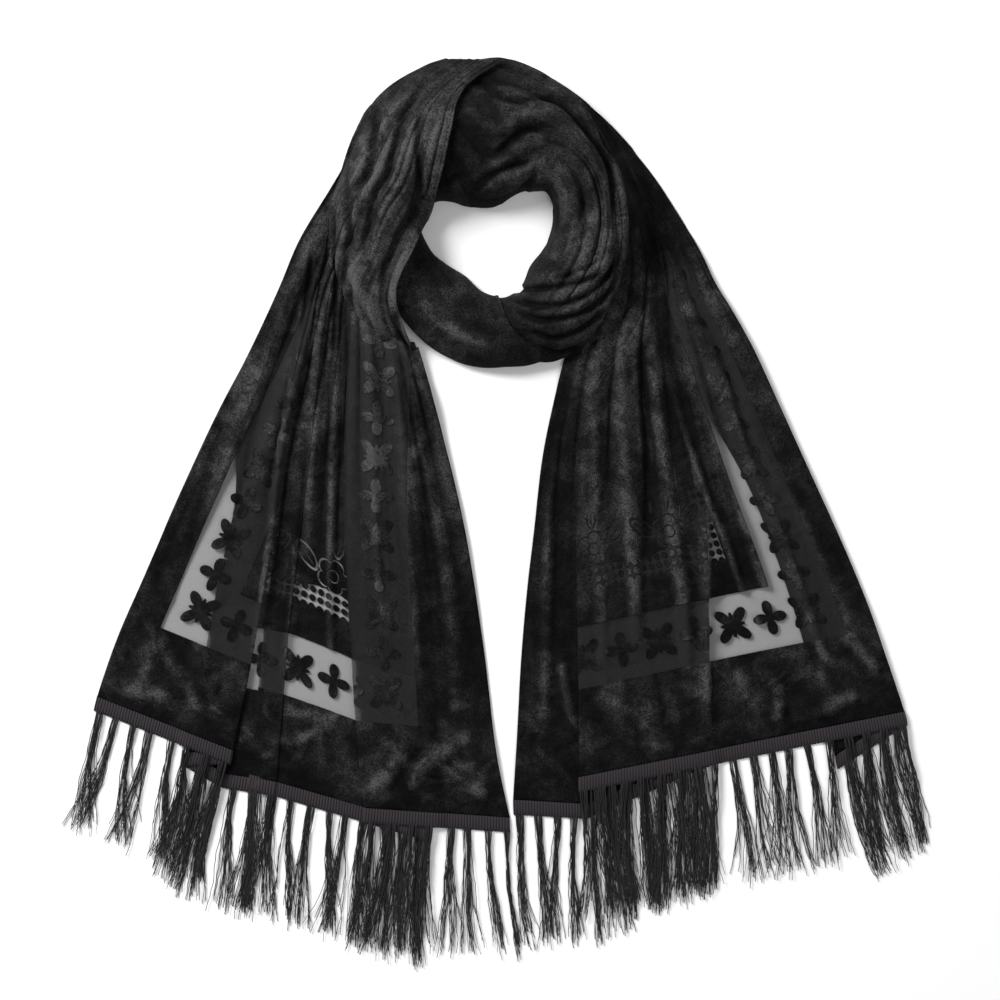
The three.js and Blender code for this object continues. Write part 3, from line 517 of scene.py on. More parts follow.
def left_section(rows, step):
    """Outer panel over the middle panel, a narrow pleat on it, and then under the inner panel."""
    cut = Section(rows["outer"], rows["inner"])
    outer, first, crease, second, inner = (rows[k] for k in ("outer", "first", "crease", "second", "inner"))
    deep_a, deep_b, deep_c = (rows[k] for k in ("deep_first", "deep_crease", "deep_second"))
    fold_a, fold_b, fold_c = (smooth(deep, 2, 12) for deep in (deep_a, deep_b, deep_c))
    slip = rows["slip_first"] * fold_a
    zero = np.zeros_like(slip)
    width = lambda p, q: np.linalg.norm(q - p, axis=1)
    flat = lambda near, far: 0 * near

    def layers(count, fold, deep, distance):
        """Height of a panel that lies on `count` layers as far as a pleat reaches under it."""
        low, high = (deep[:, None] + drop for drop in LEVEL_DROP)
        return count * step * fold[:, None] * (1 - smooth(distance, low, high))

    u_a = MARGIN - LEFT_SHOWN + zero
    u_first = u_a + width(outer, first)
    shown = width(first, second)
    middle = CUT_WIDTH / 2 + MIDDLE_SHIFT
    u_b, u_c = middle - shown / 2, middle + shown / 2
    u_crease = u_b + width(first, crease)
    u_second = CUT_WIDTH - MARGIN - BORDER + zero
    cut.run(outer, cut.moved(first, -OPENED * (1 - fold_a)), 60, u_a, u_first,
            lambda near, far: layers(2, fold_a, deep_a, far))
    cut.pleat(first, deep_a, step, fold_a, True, (zero, 0.6 * slip), u_first, u_b - deep_a)
    hidden = cut.moved(first, mix(OPENED + zero, -deep_a, fold_a), 0.6 * slip)
    beneath = cut.moved(first, mix(3.5 + zero, zero + 0.5, fold_a), slip)
    cut.run(hidden, cut.moved(beneath, -0.5 + zero), 10, u_b - deep_a, u_b, flat)
    cut.run(beneath, cut.moved(crease, -3.2 * (1 - fold_b)), 18, u_b, u_crease,
            lambda near, far: layers(0.9, fold_b, deep_b - 16, far))
    cut.pleat(crease, deep_b, 0.45 * step, fold_b, True, (zero, zero), u_crease, u_crease - deep_b)
    cut.run(cut.moved(crease, mix(OPENED + zero, -deep_b, fold_b)),
            cut.moved(crease, 0.4 + OPENED * (1 - fold_b)), 8, u_crease - deep_b, u_crease, flat)
    cut.run(cut.moved(crease, 0.9 + OPENED * (1 - fold_b)), cut.moved(second, -3.5 * (1 - fold_c)), 40,
            u_crease, u_c, flat)
    cut.run(cut.moved(second, mix(-3.2 + zero, 0.6 + zero, fold_c)),
            cut.moved(second, mix(-OPENED + zero, deep_c, fold_c)), 10, u_c, u_c + deep_c, flat)
    cut.pleat(second, deep_c, step, fold_c, False, (zero, zero), u_c + deep_c, u_second)
    cut.run(cut.moved(second, OPENED * (1 - fold_c)), inner, 62, u_second, u_second + width(second, inner),
            lambda near, far: layers(2, fold_c, deep_c, near))
    return cut.grids()


def right_section(rows, step):
    """Inner panel under the wide panel, whose outer edge is turned under."""
    cut = Section(rows["inner"], rows["outer"])
    deep, under = rows["depth"], rows["under"]
    fold, turned = smooth(deep, 2, 12), smooth(under, 4, 14)
    zero = np.zeros_like(deep)
    width = lambda p, q: np.linalg.norm(q - p, axis=1)
    inner, pleat, outer = (rows[k] for k in ("inner", "pleat", "outer"))
    flat = lambda near, far: 0 * near

    def raised(near, far):
        """Two layers high over the pleat, one over the turned edge, whichever is more."""
        low, high = (deep[:, None] + drop for drop in LEVEL_DROP)
        over_pleat = 2 * fold[:, None] * (1 - smooth(near, low, high))
        over_edge = turned[:, None] * (1 - smooth(far, under[:, None] + 3, under[:, None] + 14))
        return step * np.maximum(over_pleat, over_edge)

    u_outer = CUT_WIDTH - MARGIN + RIGHT_SHOWN + zero
    u_pleat = width(inner, pleat)
    u_back = u_outer - width(pleat, outer) * rows["ease"]
    cut.run(inner, cut.moved(pleat, -OPENED * (1 - fold), rows["slip"] * fold), 34, zero, u_pleat, flat)
    cut.run(cut.moved(pleat, mix(-OPENED + zero, 1 + zero, fold), rows["slip"] * fold),
            cut.moved(pleat, mix(-2.9 + zero, deep, fold), rows["tuck"] * fold), 14,
            u_pleat, u_pleat + deep, flat)
    cut.pleat(pleat, deep, step, fold, False, (zero, rows["tuck"]), u_pleat + deep, u_back)
    cut.run(cut.moved(pleat, OPENED * (1 - fold)), outer, 132, u_back, u_outer, raised)
    cut.under(outer, under, step, turned, rows["under_slip"], 16, u_outer)
    return cut.grids()


def left_lift(x, y):
    """The left end rises over the throat and neck turns, and stays up where it rolls over the back."""
    _, turn = polar(x, y)
    upper = np.where(turn > 0, 1 - smooth(turn, 132, 160), 0)
    low = mix(CAD_CLOTH / 2, LIFT["left"], upper)
    return mix(LIFT["left"], low, smooth(past_crest(x, y), 0.5, 1.1))


def right_lift(x, y):
    """The right end lies next to the heap, and comes down to the floor at its foot."""
    return mix(LIFT["right"], CAD_CLOTH / 2, smooth(past_crest(x, y), 0.6, 1.1))


def climbed(plan):
    """Distance from the hem, summed row by row along each column."""
    steps = np.linalg.norm(np.diff(plan, axis=0), axis=2)
    return np.concatenate([np.zeros((1, plan.shape[1])), np.cumsum(steps, axis=0)])


def end_relief(end, x, y, share, along, width):
    """Height of an end's folds: gathers that grow with the distance from the hem and sink where the end
    is narrow, ripples, swoops beside the hem, and the listed folds. It fades at the hem, where the
    braid holds the cloth flat, and next to the neck opening. It depends on the place in plan alone, so
    layers that lie on each other share it."""
    free = smooth(along, 60, 420)
    wide = share * GATHER_SPREAD
    long_folds = sum((low + growth * free) * gathers(wide, along, pitch, length, end.seed + step)
                     for low, growth, pitch, length, step in END_GATHERS)
    long_folds *= 0.2 + 0.8 * smooth(width, 60, 120)
    ripples = 0.3 * (1 + soft_noise(x, y, 15, end.seed + 5))
    beside_hem = 1 - smooth(along, 60, 150)
    swoops = HEM_SWOOP * beside_hem * gathers(x + 0.5 * y, y - 0.35 * x, 30, 90, end.seed + 9)
    from_hem, above, _ = from_line(x, y, [end.table[k][0] for k in end.corners])
    inside = smooth(from_hem * np.sign(above), 0, 18)
    clear = mix(end.by_the_hole, 1, smooth(polar(x, y)[0], 112, 150))
    return (long_folds + ripples + swoops + hand_folds(x, y, end.folds)) * clear * inside


def end_cloth(end, sizes, material):
    """One end of the stole: its sections laid over the heap, with its folds on top."""
    fine = refine(end.table, end.rows)
    plan, level, u = end.section(fine, sizes.pleat_step)
    x, y = plan[..., 0], plan[..., 1]
    v = climbed(plan)
    first, last = fine[end.corners[0]][:, None], fine[end.corners[-1]][:, None]
    span = last - first
    share = ((plan - first) * span).sum(axis=2) / (span ** 2).sum(axis=2)
    along = v.mean(axis=1, keepdims=True) + 0 * x
    relief = end_relief(end, x, y, share, along, np.linalg.norm(span, axis=2))
    lift = np.maximum(end.lift(x, y) + level + relief, 0.55 + 0.5 * level)
    # the last argument sets the painted highlight on the folds' crests and painted shade in their valleys
    return cloth_wall(f"{end.side}_end_cloth", drape(x, y, lift), np.stack([u, v], axis=-1), sizes.cloth,
                      material, smooth(relief, 0.5, 7.5))


# ---- turns round the neck ------------------------------------------------------------------------
def turned_plan(table, rows, across):
    """Places on the lines from hole to rim, crowded where the heap is steep."""
    fine = refine(table, rows)
    hole, rim, reach = (fine[k][:, None] for k in ("hole", "rim", "reach"))
    across = across[None, :]
    turn = mix(hole, rim, across)
    inner, foot, crest, _, _ = heap_at(turn)
    _, rim_foot, rim_crest, _, _ = heap_at(rim)
    rim_share = (reach - rim_crest) / (rim_foot - rim_crest)
    rolled = np.clip(across / TOP_OF_BEND, 0, 1)
    inside = crest - EDGE_TUCK * (crest - inner) * np.cos(np.pi / 2 * rolled)
    outside = crest + (foot - crest) * rim_share * np.clip((across - TOP_OF_BEND) / (1 - TOP_OF_BEND), 0, 1)
    r = np.where(across < TOP_OF_BEND, inside, outside)
    return NECK[0] + r * np.cos(np.radians(turn)), NECK[1] + r * np.sin(np.radians(turn))


def turned_cloth(name, table, rows, columns, lift_of, sizes, material):
    """A stretch of cloth round the neck: each line from hole to rim laid over the heap."""
    share, across = np.linspace(0, 1, rows)[:, None], np.linspace(0, 1, columns)
    x, y = turned_plan(table, rows, across)
    v = climbed(np.stack([x, y], axis=-1)).mean(axis=1, keepdims=True)
    lift, relief = lift_of(share, across[None, :], x, y)
    uv = np.stack([across[None, :] * NECK_SPREAD + 0 * v, v + NECK_START + 0 * x], axis=-1)
    # how far up a fold, for the painted highlight on crests and painted shade in valleys
    crest = smooth(relief + 0 * x, -1.0, 8.0)
    return cloth_wall(name, drape(x, y, lift + relief), uv, sizes.cloth, material, crest)


def neck_lift(share, across, x, y):
    """Lift and relief. Gathers run round the neck, deepest at its right, with the listed grooves."""
    fade = smooth(share, 0.03, 0.16) * (1 - 0.85 * smooth(share, 0.66, 0.8))
    inner = smooth(across, 0.05, 0.3)
    along = share * NECK_LENGTH
    place = across * NECK_WIDTH + 6 * soft_noise(share * 500, across * 60, 140, 21)
    waves = inner * sum(height * gathers(place, along, pitch, length, seed)
                        for height, pitch, length, seed in NECK_GATHERS)
    fine = 0.4 * soft_noise(along, across * NECK_WIDTH, 11, 23)
    grooves = hand_folds(x, y, NECK_GROOVES) * (0.4 + 0.6 * fade)
    own = smooth(share, 0.14, 0.34)
    return LIFT["neck"], np.maximum(fade * (3.5 + own * (waves - 1.5)) + fine + grooves, -0.6)


def band_lift(share, across, x, y):
    """Lift and relief. Almost smooth: it climbs from under the left end to lie over the neck turn."""
    climb = mix(LIFT["band_start"], LIFT["band_end"], smooth(share, 0.35, 0.8))
    soft = 0.7 * smooth(share, 0.2, 0.5) * soft_noise(across * 120, share * 190, 28, 31)
    return climb, soft + hand_folds(x, y, BAND_FOLDS) * smooth(share, 0.2, 0.4)


# ---- the two ends, and what is sewn to them --------------------------------------------------------
LEFT_END = SimpleNamespace(
    side="left", table=LEFT, tips=LEFT_TIPS, corners=("outer", "first", "second", "inner"),
    section=left_section, lift=left_lift, folds=LEFT_FOLDS, by_the_hole=1.0, seed=80, rows=172, yarn_seed=100)
RIGHT_END = SimpleNamespace(
    side="right", table=RIGHT, tips=RIGHT_TIPS, corners=("inner", "pleat", "outer"),
    section=right_section, lift=right_lift, folds=RIGHT_FOLDS, by_the_hole=0.25, seed=60, rows=190,
    yarn_seed=140)
BRAID_ROWS = 7                # grid rows from the braid's upper to its lower edge
SPOTS_A_RIB = 6               # grid columns for each rib
BRAID_AIR = 0.15              # the braid's underside over the lower face of the cloth
BRAID_WEB = 0.5               # thickness of the braid between its ribs
TASSEL_TUCK = 1.5             # how far the yarns start behind the braid's lower edge
YARN_SEGMENTS = 18            # points along a yarn
YARN_CORNERS = 3              # corners round a yarn


def beyond_hem(end, distances):
    """Rows past the hem, at distances along the way from the hem to the fringe's tips."""
    t = np.asarray(distances, float) / fringe_reach(end)
    blend = lambda a, b: a + (b - a) * t.reshape((-1,) + (1,) * np.ndim(a))
    return {name: blend(end.table[name][0], end.tips[name][0]) for name in end.table}


def fringe_reach(end):
    """Length from the hem to the fringe's tips, at the end's outer edge."""
    return np.linalg.norm(end.tips["outer"][0] - end.table["outer"][0])


def along_section(plan, level):
    """Distance along the folded section at its first row, and which of its points lie apart."""
    path = np.concatenate([plan[0], level[0][:, None]], axis=1)
    path = np.concatenate([[0], np.cumsum(np.linalg.norm(np.diff(path, axis=0), axis=1))])
    return path, np.concatenate([[True], np.diff(path) > 0.02])


def braid_wall(end, sizes, material):
    """The heading: the hem's section carried on, ribbed by a cosine across it, with scalloped edges."""
    profile = np.linspace(0, 1, BRAID_ROWS)
    rows = beyond_hem(end, SEAM + sizes.braid_depth * profile)
    plan, level, _ = end.section(rows, sizes.pleat_step)
    path, keep = along_section(plan, level)
    spots = np.arange(0, path[-1], sizes.rib_pitch / SPOTS_A_RIB)
    take = lambda grid: np.stack([np.interp(spots, path[keep], row[keep]) for row in grid])
    x, y, lift = take(plan[..., 0]), take(plan[..., 1]), take(level)
    rib = np.abs(np.cos(np.pi * spots / sizes.rib_pitch)) ** 0.8
    crown = np.sin(np.pi * np.clip(profile, 0.04, 0.96))[:, None] ** 0.4
    swell = 0.1 + crown * (0.2 + 1.5 * rib[None, :])
    middle = np.stack([x, y, lift + CAD_CLOTH / 2 + BRAID_AIR + 0.5 * swell], axis=-1)
    edges = np.zeros(BRAID_ROWS)
    edges[0], edges[-1] = 1, -1
    middle[..., 1] += 0.9 * rib[None, :] * edges[:, None]
    uv = np.stack([spots[None, :] + 0 * x, sizes.braid_depth * profile[:, None] + 0 * x], axis=-1)
    return cloth_wall(f"{end.side}_braid_heading", middle[::-1], uv[::-1], BRAID_WEB + swell[::-1], material)


def yarn_paths(end, sizes):
    """Middle line of every yarn, the direction to its side and its radius. A path runs from the heading
    to its tip, with a sideways sway that grows along it and crinkles of a few shorter waves."""
    start = SEAM * 2 + sizes.braid_depth - TASSEL_TUCK
    plan, level, _ = end.section(beyond_hem(end, [start, fringe_reach(end)]), sizes.pleat_step)
    path, keep = along_section(plan, level)
    rng = np.random.default_rng(end.yarn_seed)
    tassels = np.arange(5, path[-1] - 3, sizes.tassel_pitch)
    tassels = tassels + rng.uniform(-2.5, 2.5, len(tassels))
    count, each = len(tassels), sizes.yarns
    spread = rng.uniform(-1, 1, (count, each))
    spot = tassels[:, None] + spread * sizes.tassel_width / 2
    at = lambda values, where: np.interp(where, path[keep], values[keep])
    place = lambda row, where: np.stack([at(plan[row, :, 0], where), at(plan[row, :, 1], where)], axis=-1)
    lean = rng.normal(0, 7.0, (count, 1)) + rng.normal(0, 4.0, (count, each))
    lean = lean + spread * rng.uniform(0, 9, (count, 1))
    stray = rng.normal(0, 12.0, (count, each))
    lean += stray * (rng.random((count, each)) < 0.1)
    long = np.clip(rng.normal(0.93, 0.05, (count, each)), 0.74, 1.03)
    long = np.where(rng.random((count, each)) < 0.06, long * 0.8, long)
    top, tip = place(0, spot), place(1, spot + lean)
    t = np.linspace(0, 1, YARN_SEGMENTS)[None, None, :]
    line = mix(top[:, :, None], (top + (tip - top) * long[..., None])[:, :, None], t[..., None])
    heading = (tip - top) / np.linalg.norm(tip - top, axis=-1, keepdims=True)
    side = np.stack([-heading[..., 1], heading[..., 0]], axis=-1)
    phase = rng.uniform(0, 2 * np.pi, (4, count, each, 1))
    shared = rng.uniform(0, 2 * np.pi, (count, 1, 1))
    size = rng.uniform(0.4, 1.0, (3, count, each, 1))
    narrow = 0.36 * sizes.tassel_width
    pinch = -spread[..., None] * narrow * smooth(t, 0, 0.3) * (1 - 0.8 * smooth(t, 0.45, 1))
    sway = (t ** 1.3 * 7.0 * np.sin(2.6 * t + shared) + size[0] * t * 2.6 * np.sin(5 * t + phase[0])
            + size[1] * 0.9 * smooth(t, 0.05, 0.3) * np.sin(17 * t + phase[1])
            + size[2] * 0.45 * smooth(t, 0.05, 0.2) * np.sin(41 * t + phase[2]) + pinch)
    line = line + side[:, :, None] * sway[..., None]
    stacked = rng.uniform(0, 1, (count, each, 1))
    falling = at(level[0], spot)[..., None] * (1 - 0.75 * smooth(t, 0, 1))
    height = 0.7 + falling + 2.6 * stacked * (1 - 0.4 * t) + 0.5 * np.sin(9 * t + phase[3]) ** 2
    radius = sizes.yarn / 2 * (1 - 0.25 * t[..., None] ** 3) * rng.uniform(0.7, 1.15, (count, each, 1, 1))
    return np.concatenate([line, height[..., None]], axis=-1), side, radius


def tube_faces(total):
    """Quads round every yarn, and a triangle at each of its ends."""
    grid = np.arange(total), np.arange(YARN_SEGMENTS - 1), np.arange(YARN_CORNERS)
    yarn, ring, corner = np.meshgrid(*grid, indexing="ij")
    at_ring = lambda r, c: (yarn * YARN_SEGMENTS + r) * YARN_CORNERS + c
    after = (corner + 1) % YARN_CORNERS
    sides = np.stack([at_ring(ring, corner), at_ring(ring + 1, corner),
                      at_ring(ring + 1, after), at_ring(ring, after)], axis=-1).reshape(-1, 4)
    base = np.arange(total) * YARN_SEGMENTS * YARN_CORNERS
    final = base + (YARN_SEGMENTS - 1) * YARN_CORNERS
    tops = np.stack([base, base + 1, base + 2], axis=1)
    tips = np.stack([final, final + 2, final + 1], axis=1)
    return np.array(sides.tolist() + tops.tolist() + tips.tolist(), dtype=object)


def fringe_yarns(end, sizes, material):
    """Tassels along the heading: each yarn is a three-sided tube round its path."""
    middle, side, radius = yarn_paths(end, sizes)
    count, each = middle.shape[:2]
    corner = np.radians([90, 210, 330])
    sideways = np.concatenate([side, 0 * side[..., :1]], axis=-1)[:, :, None, None]
    tubes = (middle[..., None, :] + sideways * (np.cos(corner) * radius)[..., None]
             + np.array([0, 0, 1.0]) * (np.sin(corner) * radius)[..., None])
    tubes[..., 2] = np.maximum(tubes[..., 2], ABOVE_FLOOR)
    which = np.arange(count * each).reshape(count, each, 1, 1) * 1.0
    along = np.linspace(0, 1, YARN_SEGMENTS)[:, None] * fringe_reach(end)
    uv = np.stack(np.broadcast_arrays(which, along, np.zeros(tubes.shape[:-1]))[:2], axis=-1)
    faces = tube_faces(count * each)
    return make_piece(f"{end.side}_fringe_yarns", tubes.reshape(-1, 3), faces, material, uv)


# ---- materials -------------------------------------------------------------------------------------
class Value:
    """A number worked out by shader nodes: the usual signs add the math nodes for it."""

    def __init__(self, tree, socket):
        self.tree, self.socket = tree, socket

    def math(self, operation, *others):
        node = self.tree.nodes.new("ShaderNodeMath")
        node.operation = operation
        for slot, term in enumerate((self, *others)):
            if isinstance(term, Value):
                self.tree.links.new(term.socket, node.inputs[slot])
            else:
                node.inputs[slot].default_value = term
        return Value(self.tree, node.outputs[0])

    __add__ = __radd__ = lambda self, other: self.math("ADD", other)
    __mul__ = __rmul__ = lambda self, other: self.math("MULTIPLY", other)
    __sub__ = lambda self, other: self.math("SUBTRACT", other)
    __rsub__ = lambda self, other: (self * -1.0).math("ADD", other)
    __truediv__ = lambda self, other: self.math("DIVIDE", other)
    __pow__ = lambda self, other: self.math("POWER", other)
    minimum = lambda self, other: self.math("MINIMUM", other)
    maximum = lambda self, other: self.math("MAXIMUM", other)
    one = lambda self, kind: self.math(kind)

    def step(self, low, high):
        """0 up to low and 1 from high, smooth between."""
        node = self.tree.nodes.new("ShaderNodeMapRange")
        node.interpolation_type = "SMOOTHSTEP"
        node.inputs["From Min"].default_value = low
        node.inputs["From Max"].default_value = high
        self.tree.links.new(self.socket, node.inputs["Value"])
        return Value(self.tree, node.outputs["Result"])


def new_material(name):
    """A material with one principled shader, and that shader."""
    material = bpy.data.materials.new(name)
    material.use_nodes = True
    return material, material.node_tree, material.node_tree.nodes["Principled BSDF"]


def from_uv_map(tree, name):
    """A UV map by name: its socket, and its two numbers."""
    source = tree.nodes.new("ShaderNodeUVMap")
    source.uv_map = name
    split = tree.nodes.new("ShaderNodeSeparateXYZ")
    tree.links.new(source.outputs["UV"], split.inputs[0])
    return source.outputs["UV"], Value(tree, split.outputs["X"]), Value(tree, split.outputs["Y"])


def cloth_place(tree):
    """The cloth's own coordinates: the UV socket, and u and v in millimetres."""
    socket, u, v = from_uv_map(tree, "cloth")
    return socket, u * 1000.0, v * 1000.0


def crest_for_painted_light(tree):
    """How far up a fold each place lies, from 0 to 1, out of the piece's second UV map; it sets the painted
    highlight on the crests and the painted shade in the valleys.
    """
    return from_uv_map(tree, "crest")[1]


def noise(tree, vector, scale, detail=2.0, roughness=0.5, distortion=0.0):
    """Noise of a given number of lumps a metre."""
    node = tree.nodes.new("ShaderNodeTexNoise")
    node.inputs["Scale"].default_value = scale
    node.inputs["Detail"].default_value = detail
    node.inputs["Roughness"].default_value = roughness
    node.inputs["Distortion"].default_value = distortion
    tree.links.new(vector, node.inputs["Vector"])
    return Value(tree, node.outputs["Fac"])


def blend_colour(tree, factor, low, high, over=None):
    """A colour between two, by a factor; `over` is a colour socket that takes the place of high."""
    node = tree.nodes.new("ShaderNodeMix")
    node.data_type = "RGBA"
    first, second = [socket for socket in node.inputs if socket.type == "RGBA"]
    first.default_value = (*low, 1)
    second.default_value = (*high, 1)
    tree.links.new(factor.socket, node.inputs[0])
    if over is not None:
        tree.links.new(over, second)
    return [socket for socket in node.outputs if socket.type == "RGBA"][0]


def bump(tree, height, strength, distance, before=None):
    """A bump from a height, on top of an earlier one."""
    node = tree.nodes.new("ShaderNodeBump")
    node.inputs["Strength"].default_value = strength
    node.inputs["Distance"].default_value = distance
    tree.links.new(height.socket, node.inputs["Height"])
    if before is not None:
        tree.links.new(before, node.inputs["Normal"])
    return node.outputs["Normal"]


FIELD_REPEAT = (88.0, 80.0)   # the field's motifs repeat at this width and height
FIELD_START = 24.0            # how far up the cut the first row of them starts
# Leaves of the field: place from the middle of the motif, lean in radians, half length, half width.
FIELD_LEAVES = ((29, 13, 0.7, 15, 7), (-29, 9, 2.4, 15, 7), (4, 30, 1.4, 10, 5))
DOT_PITCH = 8.6
DOT_RADIUS = 3.25
BORDER_END = (455.0, 500.0)   # the sheer border fades out between these distances from the hem
HEM_HIGHLIGHT = (60.0, 150.0)       # painted highlight of crushed pile is strongest by the hem, weaker beyond these
PAINTED_SHEEN_RISE = (430.0, 640.0)     # painted sheen lightens the velvet between these distances from the hem
FAR_BORDER = (0.52, 0.56)     # shares of the cut's width past which the border counts as the far one
TWILL_PITCH = 1.3


def border_flowers(edge, far):
    """Flowers along the middle of the border: even ones have four ovate petals on the diagonals and
    four small ones between, odd ones four round petals. A petal's reach is a power of the cosine of
    four times the angle, and that cosine is 1 - 8 a^2 b^2 / r^4."""
    middle = MARGIN + BORDER / 2
    pitch = (CUT_WIDTH / 2 - middle) / HALF_FLOWERS
    count = ((far - middle) / pitch).one("ROUND")
    a, b = far - middle - count * pitch, edge - middle
    square = a * a + b * b
    radius = square.one("SQRT")
    cosine = 1.0 - (a * a * b * b * 8.0) / (square * square + 0.001)
    odd = (count * 0.5).one("FRACT").one("ABSOLUTE") * 2.0
    petal = (cosine * (odd * 2.0 - 1.0) * 0.5 + 0.5).maximum(0.0001)
    small = (1.0001 - petal).maximum(0.0001)
    round_reach = petal ** 0.6 * 13.0 + 4.5
    ovate_reach = (petal ** 0.85 * 17.5).maximum(small ** 3.0 * 9.0) + 4.0
    reach = ovate_reach + (round_reach - ovate_reach) * odd
    return (reach - radius).step(-0.5, 0.5)


def field_motifs(u, v, depth, wobble):
    """Pile of the field, on a half-drop lattice: a round flower of five petals, leaves with a vein,
    each parted from the plush round it by a thin burnt line, and dots on burnt ground between them and
    along the field's edge."""
    width, height = FIELD_REPEAT
    climb = (v - FIELD_START) / height
    p = ((u / width + climb.one("FLOOR") * 0.5).one("FRACT") - 0.5) * width + wobble
    q = (climb.one("FRACT") - 0.5) * height
    radius = (p * p + q * q).one("SQRT")
    lobes = (q.math("ARCTAN2", p) * 2.5).one("COSINE").one("ABSOLUTE")
    outline = lobes ** 0.6 * 5.5 + 12.0 - radius
    line = lambda gap, half: 1.0 - gap.one("ABSOLUTE").step(half - 0.35, half + 0.35)
    burnt = line(outline, 0.9).maximum(line(radius - 6.0, 0.7))
    solid = outline.step(-0.5, 0.5)
    for at_x, at_y, lean, long, wide in FIELD_LEAVES:
        c, s = float(np.cos(lean)), float(np.sin(lean))
        px, qy = p - at_x, q - at_y
        along, beside = px * c + qy * s, qy * c - px * s
        inside = (1.0 - (along / long) ** 2.0 - (beside / wide).one("ABSOLUTE") ** 1.6) * (wide * 0.6)
        vein = line(beside, 0.5) * (1.0 - (along / long).one("ABSOLUTE").step(0.5, 0.8))
        burnt = burnt.maximum(line(inside, 0.9)).maximum(vein)
        solid = solid.maximum(inside.step(-0.5, 0.5))
    dot_p, dot_q = (((place / DOT_PITCH).one("FRACT") - 0.5) * DOT_PITCH for place in (u, v))
    dots = (DOT_RADIUS + wobble * 0.5 - (dot_p * dot_p + dot_q * dot_q).one("SQRT")).step(-0.4, 0.4)
    cluster = (1.0 - (p / 34.0) ** 2.0 - ((q + 28.0) / 13.0) ** 2.0).step(-0.05, 0.05)
    cluster = cluster.maximum(1.0 - depth.step(16.0, 19.0)) * (1.0 - solid)
    return 1.0 - burnt.maximum(cluster * (1.0 - dots))


def velvet_surface(tree, shader, finish, hem_highlight=0.3, painted_sheen=1.0, pile=None):
    """Crushed pile: grain from two sizes of noise, broad patches where the pile lies away, and sharper-edged
    patches that are a painted highlight, strongest by the hem. The colour also carries painted highlight on
    the crests of the folds, painted shade in their valleys, and a painted sheen factor. The bump comes from
    the grain and from soft dents. Where the pile is burnt out the ground cloth is smooth and evenly dark."""
    vector = tree.nodes.new("ShaderNodeTexCoord").outputs["Object"]
    grain = noise(tree, vector, 560.0, detail=3.0, roughness=0.7)
    speck = noise(tree, vector, 1300.0, detail=1.0, roughness=0.6)
    dents = noise(tree, vector, 75.0, detail=3.0, roughness=0.55, distortion=0.6)
    patch = noise(tree, vector, 16.0, detail=2.0, roughness=0.5, distortion=0.7)
    # sharp-edged patches: painted highlight of crushed pile catching the light
    swept = noise(tree, vector, 21.0, detail=1.5, roughness=0.45, distortion=1.6).step(0.5, 0.6)
    lying = patch.step(0.38, 0.64) * 0.4 + swept * 0.35 * hem_highlight + 0.2
    dented = dents.step(0.3, 0.7) * 0.8 + 0.4
    # the last factor is painted sheen
    shade = (grain * 0.55 + speck * 0.45).step(0.34, 0.7) * lying * dented * painted_sheen
    # painted highlight on the folds' crests and painted shade in their valleys
    shade = shade * (crest_for_painted_light(tree) * 2.6 + 0.3)
    colour = blend_colour(tree, shade, finish.velvet_dark_tone_and_shade, finish.velvet_light_tone_and_highlight)
    lumps = grain + speck * 0.4
    if pile is not None:
        colour = blend_colour(tree, pile, finish.ground, finish.ground, colour)
        lumps = lumps * (pile * 0.95 + 0.05) + pile * 0.8
    tree.links.new(colour, shader.inputs["Base Color"])
    soft = bump(tree, dents, strength=0.45, distance=0.004)
    normal = bump(tree, lumps, strength=0.7, distance=0.0009, before=soft)
    tree.links.new(normal, shader.inputs["Normal"])
    shader.inputs["Roughness"].default_value = 0.8
    shader.inputs["Specular IOR Level"].default_value = 0.06
    shader.inputs["Sheen Weight"].default_value = finish.sheen
    shader.inputs["Sheen Roughness"].default_value = 0.3
    shader.inputs["Sheen Tint"].default_value = (0.5, 0.5, 0.53, 1)


def patterned_velvet(name, finish, sheen_rise, far_sheen):
    """Velvet whose pile is burnt out in a border and a field, leaving sheer ground cloth there. Painted
    sheen lightens it towards the neck by the first number, and in the far border's flowers by the second."""
    material, tree, shader = new_material(name)
    vector, u, v = cloth_place(tree)
    wobble = (noise(tree, vector, 150.0) - 0.5) * 2.4
    side = u.minimum(float(CUT_WIDTH) - u)
    edge, far = side.minimum(v), side.maximum(v)
    past = lambda line: edge.step(line - 0.4, line + 0.4)
    field_start = MARGIN + BORDER + FRAME
    border = past(MARGIN) * (1.0 - past(MARGIN + BORDER))
    field = past(field_start)
    flowers = border_flowers(edge + wobble * 0.5, far + wobble * 0.4)
    motifs = field_motifs(u, v, edge - field_start, wobble)
    field_burnt = field * (1.0 - motifs) * (1.0 - v.step(FIELD_END - 6.0, FIELD_END + 6.0))
    burnt = border * (1.0 - flowers) * (1.0 - v.step(*BORDER_END)) + field_burnt
    pile = 1.0 - burnt
    # painted highlight patches, strongest by the hem
    hem_highlight = 1.15 - v.step(*HEM_HIGHLIGHT) * 0.75
    # painted sheen: lighter towards the neck and in the far border
    painted_sheen = v.step(*PAINTED_SHEEN_RISE) * sheen_rise + 1.0
    painted_sheen = painted_sheen + border * u.step(*(CUT_WIDTH * share for share in FAR_BORDER)) * far_sheen
    velvet_surface(tree, shader, finish, hem_highlight, painted_sheen, pile)
    twill = ((u + v * 0.8) * (2 * np.pi / TWILL_PITCH)).one("SINE") * 0.05
    alpha = pile + burnt * (twill + finish.ground_cover)
    tree.links.new(alpha.socket, shader.inputs["Alpha"])
    return material


def plain_velvet(name, finish, painted_sheen=1.0):
    """The same velvet with its pile whole, and its colour scaled by a painted sheen factor."""
    material, tree, shader = new_material(name)
    velvet_surface(tree, shader, finish, 0.3, painted_sheen)
    return material


